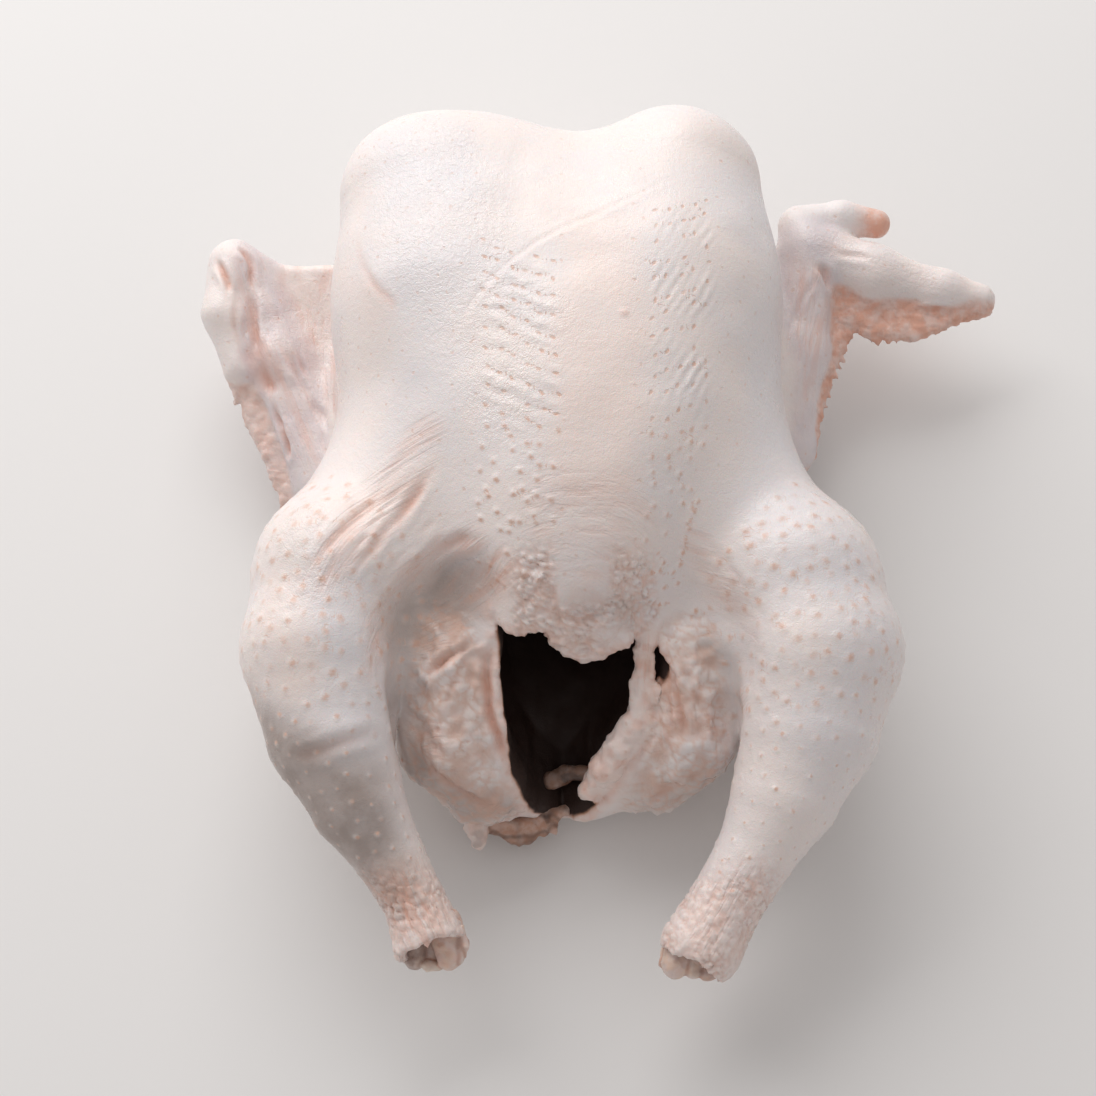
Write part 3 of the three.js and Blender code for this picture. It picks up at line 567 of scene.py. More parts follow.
def membranes(p):
    """Torn, wavy membranes that hang beside the mouth."""
    wavy = p + rough(p, (5, 9, 9), 33)[:, None] * 2.2
    sheets = np.minimum.reduce([sheet(wavy, corners, MEMBRANE_HALF_THICKNESS) for corners in MEMBRANES])
    return join_all([sheets, limb(p, MOUTH_LIP, 6), limb(p, KEEL_TIP, 4)], 3)


def turkey(p):
    """The whole bird above the table."""
    body = join_all([legs(p, torso(p)), left_wing(p), right_wing(p)], WING_BLEND)
    dent_sets = ((CROOKS, CROOK_BLEND), (CREASES, CREASE_BLEND))
    for dents, blend in dent_sets:
        body = cut(body, np.minimum.reduce([limb(p, balls, blend) for balls in dents]), blend)
    whole = join(cut(body, hollow(p), LIP_BLEND), limb(p, KEEL_FLAP, 6), 4)
    whole = join(whole, membranes(p), 3)
    return np.maximum(whole, -p[:, 2])


# ---- Meshing ----

BLOCK = 6


def mesh_of(field, low, high, step):
    """Vertices and quads of a field's surface, worked out finely only near the surface."""
    low = np.array(low, np.float32)
    counts = np.ceil((np.array(high) - low) / (step * BLOCK)).astype(int)
    middles = low + (np.indices(counts).reshape(3, -1).T + 0.5).astype(np.float32) * step * BLOCK
    rough_values = field(middles)
    reach = step * BLOCK * 1.35 + 3
    values = np.broadcast_to(
        rough_values.reshape(counts)[:, None, :, None, :, None],
        (counts[0], BLOCK, counts[1], BLOCK, counts[2], BLOCK),
    ).copy()
    near = np.flatnonzero(np.abs(rough_values) < reach)
    inner = np.indices((BLOCK,) * 3).reshape(3, -1).T
    for part in np.array_split(near, max(1, len(near) // 4000)):
        block = np.stack(np.unravel_index(part, counts), 1)
        p = low + ((block[:, None] * BLOCK + inner[None]) * step).reshape(-1, 3).astype(np.float32)
        fine = field(p).reshape(len(part), BLOCK, BLOCK, BLOCK)
        values[block[:, 0], :, block[:, 1], :, block[:, 2], :] = fine
    values = np.clip(values.reshape(counts * BLOCK), -3 * step, 3 * step)
    grid = openvdb.FloatGrid(3 * step)
    grid.copyFromArray(np.ascontiguousarray(values, np.float32))
    points, quads = grid.convertToQuads(0)
    return points.astype(np.float32) * step + low, quads.astype(np.int64)


def normals_of(points, quads):
    """Smooth outward normals at the vertices."""
    a, b, c, d = (points[quads[:, i]] for i in range(4))
    face = np.cross(c - a, d - b)
    total = np.stack([
        sum(np.bincount(quads[:, i], face[:, axis], len(points)) for i in range(4)) for axis in range(3)
    ], 1)
    return (total / np.maximum(np.linalg.norm(total, axis=1, keepdims=True), 1e-9)).astype(np.float32)


def evened(points, quads, passes, share=0.5):
    """Moves each vertex toward the middle of its faces' corners."""
    for _ in range(passes):
        middles = points[quads].mean(1)
        total = np.stack([
            sum(np.bincount(quads[:, i], middles[:, axis], len(points)) for i in range(4)) for axis in range(3)
        ], 1)
        number = sum(np.bincount(quads[:, i], minlength=len(points)) for i in range(4))
        points = points + share * (total / np.maximum(number, 1)[:, None] - points)
    return points.astype(np.float32)


def outward(points, quads):
    """The quads, turned so that their normals point out."""
    a, b, c, d = (points[quads[:, i]] for i in range(4))
    volume = (np.cross(c - a, d - b) * a).sum()
    return quads if volume > 0 else quads[:, ::-1]


def piece_from(name, points, quads, masks, material):
    """A Blender object in metres with its masks as attributes; it rides on the body."""
    mesh = bpy.data.meshes.new(name)
    mesh.vertices.add(len(points))
    mesh.vertices.foreach_set("co", (points * MM).ravel().astype(np.float32))
    mesh.loops.add(quads.size)
    mesh.loops.foreach_set("vertex_index", quads.ravel().astype(np.int32))
    mesh.polygons.add(len(quads))
    mesh.polygons.foreach_set("loop_start", np.arange(0, quads.size, 4, dtype=np.int32))
    mesh.polygons.foreach_set("use_smooth", np.ones(len(quads), bool))
    for label, values in masks.items():
        if values.ndim == 2:
            layer = mesh.attributes.new(label, "FLOAT_VECTOR", "POINT")
            layer.data.foreach_set("vector", values.ravel().astype(np.float32))
        else:
            layer = mesh.attributes.new(label, "FLOAT", "POINT")
            layer.data.foreach_set("value", np.clip(values, 0, 1).astype(np.float32))
    mesh.update(calc_edges=True)
    mesh.validate()
    mesh.materials.append(material)
    piece = bpy.data.objects.new(name, mesh)
    bpy.context.scene.collection.objects.link(piece)
    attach(piece, "root")
    return piece


def spread(points, weight, spacing, seed):
    """Picks vertices at least spacing apart, more willingly where weight is high."""
    dice = np.random.default_rng(seed)
    chosen = np.flatnonzero(dice.random(len(points)) < weight)
    if len(chosen) > 30000:
        chosen = dice.choice(chosen, 30000, replace=False)
    dice.shuffle(chosen)
    taken = {}
    kept = []
    neighbours = [(x, y, z) for x in (-1, 0, 1) for y in (-1, 0, 1) for z in (-1, 0, 1)]
    for index, place in zip(chosen, points[chosen].tolist()):
        x, y, z = (int(c // spacing) for c in place)
        crowd = (taken[key] for key in ((x + i, y + j, z + k) for i, j, k in neighbours) if key in taken)
        if all(math.dist(place, other) >= spacing for other in crowd):
            taken[(x, y, z)] = place
            kept.append(index)
    return np.array(kept, int)


def nearest_of(points, centres):
    """For each point, which of the centres is nearest."""
    tree = tree_of(centres)
    return np.array([tree.find(place)[1] for place in points.tolist()])


def tree_of(points):
    """A search tree of the vertices."""
    tree = kdtree.KDTree(len(points))
    for index, place in enumerate(points.tolist()):
        tree.insert(place, index)
    tree.balance()
    return tree


# ---- Skin details ----


def regions(p):
    """Soft masks of the bird's parts at the vertices."""
    leg = soft(9, 1, drumsticks(p))
    left = soft(7, 1, left_wing(p))
    right = soft(7, 1, right_wing(p))
    trunk = soft(6, 0, torso(p)) * (1 - leg) * (1 - np.maximum(left, right))
    return {
        "leg": leg,
        "left": left * (1 - leg),
        "right": right * (1 - leg),
        "wing": np.maximum(left, right) * (1 - leg),
        "trunk": trunk,
        "breast": trunk * soft(60, 95, p[:, 2]) * soft(-95, -70, p[:, 1]),
        "hock": leg * soft(-200, -224, p[:, 1]),
        "inner": soft(2.4, 0.6, hollow(p)) * soft(2.2, 3.4, membranes(p)),
        "lip": soft(8, 2, hollow(p)),
    }


def curve(points, steps=4):
    """A smooth line through the points."""
    points = np.array(points, np.float64)
    padded = np.vstack([2 * points[0] - points[1], points, 2 * points[-1] - points[-2]])
    line = []
    for a, b, c, d in zip(padded, padded[1:], padded[2:], padded[3:]):
        for t in np.arange(steps) / steps:
            line.append(b + 0.5 * t * (c - a + t * (2 * a - 5 * b + 4 * c - d + t * (3 * (b - c) + d - a))))
    return [*line, points[-1]]


def folds(p):
    """Height and orange tint of the folds."""
    height = np.zeros(len(p), np.float32)
    tint = np.zeros(len(p), np.float32)
    for number, (width, depth, lip, orange, points) in enumerate(FOLDS):
        line = curve(points)
        reach = 6 * width + 4
        close = np.flatnonzero(((p > np.min(line, 0) - reach) & (p < np.max(line, 0) + reach)).all(1))
        q = p[close]
        d, where, side = line_distance(q + rough(q, 8, 60 + number)[:, None] * 0.7, line)
        ends = soft(0, 0.3, where) * soft(1, 0.7, where)
        share = d / width * (1 + 0.25 * rough(q, 11, 160 + number))
        left = np.where(side > 0, 1, 0)
        rise = lip * left * soft(0.2, 1.6, share) * np.exp(-share / 3.2)
        valley = np.exp(-(share**2)) - 0.3 * np.exp(-((share - 2.1) ** 2))
        height[close] += (rise - depth * valley) * ends
        glow = orange * np.exp(-((share / 1.2) ** 2)) * ends
        tint[close] = np.maximum(tint[close], glow)
    return height, tint


def wrinkles(p):
    """Wrinkle coordinates, and masks of how deep and how pink the wrinkles are."""
    at = np.zeros((len(p), 3), np.float32)
    depth = np.zeros(len(p), np.float32)
    pink = np.zeros(len(p), np.float32)
    zones = np.stack([soft(2, -11, limb(p, row["zone"], 6)) for row in WRINKLES])
    order = np.sort(zones, 0)
    lead = order[-1] - order[-2]
    strongest = zones.argmax(0)
    for number, row in enumerate(WRINKLES):
        mine = np.flatnonzero((strongest == number) & (lead > 0))
        if "across" in row:
            normal = np.array(row["across"], np.float32)
            across = p[mine] @ normal
            along = p[mine] @ np.cross(normal, (0, 0, 1)) if normal[2] == 0 else p[mine, 0]
        else:
            offset = p[mine, :2] - np.array(row.get("rings") or row["rays"], np.float32)
            ahead = offset.mean(0)
            turned = np.arctan2(ahead[0] * offset[:, 1] - ahead[1] * offset[:, 0], offset @ ahead)
            lead[mine] *= soft(3.1, 2.7, np.abs(turned))
            across = np.hypot(offset[:, 0], offset[:, 1])
            along = turned * row.get("reach", 40)
            if "rays" in row:
                across, along = along, across
        at[mine] = np.stack([across / row["spacing"], along / row["spacing"] / 6, np.full(len(mine), number * 9.7)], 1)
        depth[mine] = lead[mine] * row["height"]
        pink[mine] = lead[mine] * row["pink"]
    return at, depth, pink


def row_bend(x, y):
    """How far the rows of follicles wander up and down at a place seen from above."""
    flat = np.stack([x, y, np.zeros_like(x)], 1).astype(np.float32)
    return rough(flat, 16, 41) * 2.6 + rough(flat, 6, 44) * 1.1


def tract_places():
    """Follicles of the feather tracts, from above: place, how raised, and which way the pit is drawn out."""
    dice = np.random.default_rng(40)
    places = []
    for row in TRACTS:
        line = np.array(row["line"], np.float32)
        y = float(line[0, 1])
        while y > line[-1, 1]:
            raised = float(soft(RAISED_FROM_Y, RAISED_TO_Y, y))
            middle = np.interp(-y, -line[:, 1], line[:, 0])
            for column in range(row["columns"]):
                across = (column - (row["columns"] - 1) / 2) * FOLLICLE_ACROSS
                x, away = (across, row["rise"] * across) + dice.normal(0, 0.6 + 0.7 * raised, 2)
                if dice.random() > 0.06 + 0.1 * raised:
                    places.append((middle + x, y + away, raised, row["streak"] + dice.normal(0, 0.25)))
            y -= FOLLICLE_ALONG - 3.0 * raised
    places = np.array(places, np.float32)
    places[:, 1] += row_bend(places[:, 0], places[:, 1])
    return places


def tract_ridges(p):
    """Ridges of skin between the rows of follicles."""
    ridges = np.zeros(len(p), np.float32)
    bend = row_bend(p[:, 0], p[:, 1])
    for row in TRACTS:
        line = np.array(row["line"], np.float32)
        across = p[:, 0] - np.interp(-p[:, 1], -line[:, 1], line[:, 0])
        half = row["columns"] * FOLLICLE_ACROSS / 2
        phase = (line[0, 1] - p[:, 1] + row["ridge"] * across + bend) / FOLLICLE_ALONG + 0.12 * rough(p, 5, 46)
        keep = soft(half + 3, half - 6, np.abs(across)) * soft(RAISED_TO_Y, RAISED_FROM_Y + 14, p[:, 1])
        keep *= soft(line[0, 1] + 6, line[0, 1] - 22, p[:, 1]) * (0.12 + 0.88 * soft(-0.4, 0.8, rough(p, 9, 43)))
        wave = 0.5 - 0.5 * np.cos(2 * np.pi * phase)
        ridges += row["deep"] * keep * (wave**1.3 - 0.3) * (1 + 0.5 * rough(p, 3.5, 45))
    return ridges


def follicles(p, normals, part, sizes):
    """Every follicle's vertex, radius, how drawn out, its angle, how raised, how strong and its height in mm."""
    top = np.flatnonzero((p[:, 2] > 85) & (normals[:, 2] > 0.3) & (part["trunk"] > 0.3))
    tree = tree_of(p[top] * (1, 1, 0))
    dice = np.random.default_rng(22)
    rows = [(top[tree.find((x, y, 0))[1]], 1.25 + 0.75 * raised, 1.9 - 0.6 * raised, angle, 0.15 + 0.8 * raised,
             dice.uniform(0.6, 1.0), 0.5) for x, y, raised, angle in tract_places()]

    near_tract = np.zeros(len(p), np.float32)
    for row in TRACTS:
        line = np.array(row["line"], np.float32)
        middle = np.interp(-p[:, 1], -line[:, 1], line[:, 0])
        half = row["columns"] * FOLLICLE_ACROSS / 2
        near_tract = np.maximum(near_tract, (np.abs(p[:, 0] - middle) < half + 1) * part["breast"])
    keel = soft(24, 14, np.abs(p[:, 0] - 10)) * part["breast"]
    up = np.clip(normals[:, 2], 0, 1)
    weight = (part["trunk"] + 0.6 * part["wing"]) * (1 - near_tract) * (1 - keel) * (1 - part["inner"])
    weight *= 0.3 * (0.3 + up) * (0.3 + soft(-0.3, 0.3, rough(p, 42, 12)))
    for index in spread(p, weight, 9.5, 21):
        rows.append((index, dice.uniform(0.8, 1.3), 1.5, dice.uniform(0, 3), 0.3, dice.uniform(0.25, 0.6), 0.12))

    leg_skin = part["leg"] * (1 - part["hock"]) * (1 - part["inner"])
    for index in spread(p, leg_skin, sizes.bump_spacing / MM, 31):
        low = float(soft(-120, -180, p[index, 1]))
        rows.append((index, dice.uniform(2.5, 3.3) - 1.5 * low, 1.15, dice.uniform(0, 3), 0.8 + 0.2 * low,
                     dice.uniform(0.35, 1.0), 0.55))
    return np.array(rows, np.float32)


def skin_details(p, normals, sizes):
    """How far each vertex moves outward, and the masks that the skin's material reads."""
    part = regions(p)
    outside = 1 - part["inner"]
    height = np.zeros(len(p), np.float32)
    masks = {}

    # Soft lumps of the flesh, and slack skin.
    height += (rough(p, 34, 1) * 0.9 + rough(p, 15, 2) * 0.4) * (part["trunk"] + 0.4 * part["leg"]) * outside
    slack = soft(0.1, 0.8, rough(p, 40, 9)) * part["trunk"]
    height += rough(p, (14, 3.2, 6), 3) * 0.12 * slack * outside

    # Follicles: the offset from the nearest one, in its own radius.
    rows = follicles(p, normals, part, sizes)
    centres = p[rows[:, 0].astype(int)]
    index, radius, drawn, angle, raised, strength, rise = rows[nearest_of(p, centres)].T
    offset = (p - p[index.astype(int)]) / radius[:, None]
    gap = np.linalg.norm(offset, axis=1)
    along = offset[:, 0] * np.cos(angle) + offset[:, 1] * np.sin(angle)
    across = offset[:, 1] * np.cos(angle) - offset[:, 0] * np.sin(angle)
    masks["spot"] = np.stack([along / drawn, across, offset[:, 2]], 1)
    masks["spot_gap"] = gap / drawn / 4
    masks["raised"] = raised
    masks["spot_strength"] = strength * outside
    height += raised * strength * soft(1.4, 0.0, gap) * rise * outside
    ridges = tract_ridges(p) * part["trunk"] * outside
    height += ridges * sizes.follicle_height / MM
    # The ridge tops are also painted paler: a painted highlight along the ridges between the follicle rows.
    masks["painted_ridge_highlight"] = np.clip(ridges, 0, 1)

    # Scales of the hocks, with crevices between them.
    first, second = cells(p, (4.6, 4.0, 4.6), 51)
    between = soft(0.22, 0.0, second - first)
    cobbles = part["hock"] * (0.55 + 0.45 * rough(p, 12, 53))
    height += cobbles * (0.85 - 1.5 * between - 0.6 * first)
    orange = cobbles * between * 0.75

    # Folds, lumps and wrinkles.
    fold_height, tint = folds(p)
    height += fold_height * outside * sizes.fold_depth
    orange = np.maximum(orange, tint * outside)
    for x, y, z, radius, rise, warm in LUMPS:
        lump = soft(radius, radius * 0.25, np.linalg.norm(p - np.array((x, y, z), np.float32), axis=1))
        height += rise * lump
        orange = np.maximum(orange, warm * lump)
    at, depth, pink = wrinkles(p)
    masks["wrinkle_at"] = at
    masks["wrinkle"] = depth * outside
    height += depth * outside * rough(at, (1.7, 1, 1), 65) * 0.45

    # Lumpy skin on both sides of the keel's end, on the flaps and round the mouth's rim.
    sides = soft(13, 5, np.abs(p[:, 0] + 19)) + soft(14, 6, np.abs(p[:, 0] - 26)) + soft(8, 2, limb(p, KEEL_FLAP, 6))
    sides = np.minimum(sides, 1)
    knobby = part["trunk"] * soft(-70, -86, p[:, 1]) * soft(90, 98, p[:, 2]) * sides
    first, second = cells(p, (4.4, 3.6, 3.6), 72)
    height += knobby * (0.9 * rough(p, 6, 73) + 1.2 * soft(0, 0.4, second - first) - 0.6)
    orange = np.maximum(orange, 0.4 * knobby * soft(0.25, 0, second - first))
    flap = soft(7, 1, np.minimum(limb(p, LEFT_FLAP, 10), limb(p, RIGHT_FLAP, 10))) * outside * (1 - part["leg"])
    lumps = rough(p, 8, 76)
    first, second = cells(p, (7, 5.5, 5.5), 74)
    knobs = soft(0, 0.45, second - first)
    height += flap * (1.5 * lumps + 1.1 * rough(p, (3.2, 5, 5), 77) + 0.6 * knobs - 0.3)
    crease = flap * np.maximum(soft(0.1, -0.6, lumps + 0.4 * rough(p, 3, 78)), soft(0.22, 0, second - first))
    masks["crease"] = np.maximum(crease, 0.8 * knobby * soft(0.25, 0, second - first))
    rim = part["lip"] * outside
    height += rim * (1.1 * rough(p, 5.5, 81) + 0.9 * rough(p, 2.6, 82))
    orange = np.maximum(orange, 0.5 * rim * soft(0.1, -0.5, rough(p, 4, 79)))

    # The lining of the cavity: soft ribs and slack membranes.
    height += part["inner"] * (rough(p, (11, 26, 11), 83) * 1.4 + rough(p, (4, 9, 4), 84) * 0.5)

    # Wings: slack skin, and the quill edge.
    teeth = soft(4.5, 1.0, np.minimum.reduce([quills(p, row, seed) for row, seed in zip(QUILL_ROWS, (7, 8, 3))]))
    height += part["wing"] * (rough(p, 7, 86) * 0.35 + rough(p, 14, 85) * 0.5)
    height += teeth * rough(p, 3.4, 87) * 0.45
    first, second = cells(p, (7, 4.6, 6), 88)
    height -= teeth * soft(0.2, 0, second - first) * 0.7

    masks["orange"] = orange * (0.8 + 0.2 * rough(p, 5, 93))
    masks["pink"] = pink * outside
    masks["inner"] = part["inner"]
    masks["lip"] = rim
    masks["hock"] = part["hock"]
    thumb = soft(10, 4, np.abs(limb(p, RIGHT_THUMB[1:], 6))) * soft(138, 152, p[:, 0])
    masks["salmon"] = np.maximum(teeth * np.where(p[:, 0] < 0, 0.55, 1), thumb)
    forearm = np.minimum(limb(p, LEFT_FOREARM, 8), limb(p, RIGHT_FOREARM, 8))
    masks["lilac"] = part["wing"] * soft(8, 2, forearm) * (1 - teeth)
    for label, strength, fade, balls in ZONES:
        zone = strength * soft(fade / 2, -fade / 2, limb(p, balls, 10) + 4 * rough(p, 18, 95)) * outside
        masks[label] = np.maximum(masks.get(label, 0), zone)
    height *= soft(0.5, 5, p[:, 2])
    return height, masks


def turkey_skin(sizes, material):
    """The skin's mesh, from the body's forms and then its relief."""
    step = sizes.skin_step / MM * 1
    points, quads = mesh_of(turkey, BODY_LOW, BODY_HIGH, step)
    quads = outward(points, quads)
    points = evened(points, quads, 1)
    normals = normals_of(points, quads)
    height, masks = skin_details(points, normals, sizes)
    points = points + normals * height[:, None]
    points[:, 2] = np.maximum(points[:, 2], 0)
    return piece_from("turkey_skin", points, quads, masks, material)


def tissue(rows, low, high, step, blend, raggedness, seed, cup=None):
    """Vertices, quads and masks of a clump of limbs with torn, uneven surfaces."""

    def field(p):
        rag = rough(p, 4.5, seed) * raggedness + rough(p, 1.9, seed + 1) * raggedness * 0.45
        clump = join_all([limb(p, row["limb"], 1) for row in rows], blend) + rag
        if cup:
            clump = cut(clump, np.linalg.norm(p - np.array(cup["at"], np.float32), axis=1) - cup["radius"], 0.8)
        return np.maximum(clump, 0.4 - p[:, 2])

    points, quads = mesh_of(field, low, high, step * (1))
    quads = outward(points, quads)
    points = evened(points, quads, 1)
    parts = np.stack([limb(points, row["limb"], 1) for row in rows], 1)
    nearest, next_nearest = np.sort(parts, 1)[:, :2].T
    gap = soft(1.6, 0.1, next_nearest - nearest)
    share = np.exp(-np.clip(parts, -5, 20) / 1.1)
    share /= share.sum(1, keepdims=True)
    masks = {label: share @ np.array([row[label] for row in rows]) for label in ("dark", "orange")}
    masks["orange"] = masks["orange"] + gap * 0.5
    masks["dark"] = masks["dark"] + gap * 0.45 + 0.35 * soft(-0.1, -0.7, rough(points, 4.5, seed))
    return points, quads, masks


def clump_piece(name, parts, material):
    """One piece from several clumps of tissue."""
    points = np.concatenate([part[0] for part in parts])
    starts = np.cumsum([0] + [len(part[0]) for part in parts[:-1]])
    quads = np.concatenate([part[1] + start for part, start in zip(parts, starts)])
    masks = {label: np.concatenate([part[2][label] for part in parts]) for label in parts[0][2]}
    return piece_from(name, points, quads, masks, material)


# ---- Materials ----


def socket(group, label, kind, side, default=None):
    """A named socket of a node group."""
    made = group.interface.new_socket(label, in_out=side, socket_type=kind)
    if default is not None:
        made.default_value = default
    return made


class Nodes:
    """Short ways to add nodes to a tree. A value may be a number or another node's socket."""

    def __init__(self, tree):
        self.nodes = tree.nodes
        self.links = tree.links

    def put(self, target, value):
        if isinstance(value, bpy.types.NodeSocket):
            self.links.new(value, target)
        else:
            target.default_value = value

    def math(self, operation, *values, clamp=False):
        node = self.nodes.new("ShaderNodeMath")
        node.operation = operation
        node.use_clamp = clamp
        for target, value in zip(node.inputs, values):
            self.put(target, value)
        return node.outputs[0]

    def vector(self, operation, output, *values):
        node = self.nodes.new("ShaderNodeVectorMath")
        node.operation = operation
        for target, value in zip(node.inputs, values):
            self.put(target, value)
        return node.outputs[output]

    def ramp(self, value, low, high, to_low=0.0, to_high=1.0):
        node = self.nodes.new("ShaderNodeMapRange")
        node.interpolation_type = "SMOOTHSTEP"
        settings = {"Value": value, "From Min": low, "From Max": high, "To Min": to_low, "To Max": to_high}
        for label, setting in settings.items():
            self.put(node.inputs[label], setting)
        return node.outputs["Result"]

    def noise(self, place, scale, detail=4.0, roughness=0.6, distortion=0.0):
        node = self.nodes.new("ShaderNodeTexNoise")
        self.links.new(place, node.inputs["Vector"])
        for label, setting in (("Scale", scale), ("Detail", detail), ("Roughness", roughness)):
            self.put(node.inputs[label], setting)
        node.inputs["Distortion"].default_value = distortion
        return node.outputs["Fac"]

    def mix(self, factor, first, second):
        node = self.nodes.new("ShaderNodeMix")
        node.data_type = "RGBA"
        self.put(node.inputs["Factor"], factor)
        self.put(node.inputs["A"], first)
        self.put(node.inputs["B"], second)
        return node.outputs["Result"]

    def place(self):
        return self.nodes.new("ShaderNodeTexCoord").outputs["Object"]

    def attribute(self, label, output="Fac"):
        node = self.nodes.new("ShaderNodeAttribute")
        node.attribute_name = label
        return node.outputs[output]


def new_group(name, inputs, outputs):
    """A node group, its node helper, its input sockets and its output sockets."""
    group = bpy.data.node_groups.new(name, "ShaderNodeTree")
    for label, (kind, default) in inputs.items():
        socket(group, label, kind, "INPUT", default)
    for label, kind in outputs.items():
        socket(group, label, kind, "OUTPUT")
    add = Nodes(group)
    given = add.nodes.new("NodeGroupInput").outputs
    result = add.nodes.new("NodeGroupOutput").inputs
    return group, add, given, result


FLOAT = "NodeSocketFloat"
COLOR = "NodeSocketColor"
VECTOR = "NodeSocketVector"


def mottle_group():
    """Colour that wanders between two tones in large and small patches."""
    group, add, given, result = new_group(
        "Flesh Mottle",
        {"Tone": (COLOR, (0.8, 0.7, 0.68, 1)), "Other Tone": (COLOR, (0.7, 0.6, 0.6, 1)),
         "Patches Per Metre": (FLOAT, 30.0), "Amount": (FLOAT, 0.5)},
        {"Color": COLOR})
    patches = add.ramp(add.noise(add.place(), given["Patches Per Metre"]), 0.36, 0.66)
    factor = add.math("MULTIPLY", patches, given["Amount"])
    add.put(result["Color"], add.mix(factor, given["Tone"], given["Other Tone"]))
    return group


def grain_group():
    """Fine wet grain: the height of tiny creases and pores, and how rough the wet film is."""
    group, add, given, result = new_group(
        "Wet Grain",
        {"Creases Per Metre": (FLOAT, 330.0), "Pores Per Metre": (FLOAT, 900.0), "Dry Roughness": (FLOAT, 0.46),
         "Wet Roughness": (FLOAT, 0.27)},
        {"Height": FLOAT, "Roughness": FLOAT})
    place = add.place()
    creases = add.noise(place, given["Creases Per Metre"], 4.0, 0.55, 0.8)
    pores = add.nodes.new("ShaderNodeTexVoronoi")
    pores.feature = "DISTANCE_TO_EDGE"
    add.put(pores.inputs["Vector"], place)
    add.put(pores.inputs["Scale"], given["Pores Per Metre"])
    plates = add.math("MINIMUM", pores.outputs["Distance"], 0.25)
    add.put(result["Height"], add.math("MULTIPLY_ADD", plates, 0.5, creases))
    film = add.noise(place, 55.0, 3.0, 0.5)
    add.put(result["Roughness"], add.ramp(film, 0.35, 0.65, given["Wet Roughness"], given["Dry Roughness"]))
    return group


def follicle_group():
    """Feather follicles: raised ones with a tan side, and flat ones with a small pit."""
    group, add, given, result = new_group(
        "Follicles",
        {"Offset": (VECTOR, (1, 0, 0)), "Gap": (FLOAT, 1.0), "Raised": (FLOAT, 0.0), "Strength": (FLOAT, 1.0)},
        {"Height": FLOAT, "Pit": FLOAT, "Crest": FLOAT})
    far = add.math("MULTIPLY_ADD", given["Gap"], 4.0, -0.7)
    ragged = add.math("MULTIPLY_ADD", add.noise(add.place(), 700.0, 3.0), 0.9, -0.45)
    away = add.math("MAXIMUM", add.vector("LENGTH", "Value", given["Offset"]), far)
    uneven = add.math("ADD", away, ragged)
    mound = add.math("MULTIPLY", add.ramp(away, 1.15, 0.05), given["Raised"])
    flat = add.math("SUBTRACT", 1.0, given["Raised"])
    hole = add.math("MULTIPLY", add.ramp(uneven, 0.95, 0.25), flat)
    aside = add.vector("SUBTRACT", "Vector", given["Offset"], (0.32, -0.42, 0.0))
    side = add.math("ADD", add.math("MAXIMUM", add.vector("LENGTH", "Value", aside), far), ragged)
    tan = add.math("MULTIPLY", add.ramp(side, 0.85, 0.1), given["Raised"])
    relief = add.math("MULTIPLY_ADD", hole, -0.3, add.math("MULTIPLY", mound, 0.14))
    add.put(result["Height"], add.math("MULTIPLY", relief, given["Strength"]))
    pit = add.math("ADD", tan, hole)
    add.put(result["Pit"], add.math("MULTIPLY", pit, given["Strength"]))
    add.put(result["Crest"], add.math("MULTIPLY", mound, given["Strength"]))
    return group


def wrinkle_group():
    """Fine wrinkles that run along the second of their coordinates."""
    group, add, given, result = new_group(
        "Skin Wrinkles",
        {"Coordinates": (VECTOR, (0, 0, 0)), "Depth": (FLOAT, 1.0)},
        {"Height": FLOAT, "Valley": FLOAT, "Streak": FLOAT})
    wave = add.noise(given["Coordinates"], 1.0, 2.5, 0.55, 0.25)
    ridge = add.ramp(wave, 0.32, 0.6)
    add.put(result["Height"], add.math("MULTIPLY", ridge, given["Depth"]))
    broad = add.noise(given["Coordinates"], 0.45, 2.0)
    add.put(result["Streak"], add.math("MULTIPLY", add.ramp(broad, 0.48, 0.62), given["Depth"]))
    valley = add.ramp(wave, 0.5, 0.36)
    add.put(result["Valley"], add.math("MULTIPLY", valley, given["Depth"]))
    return group


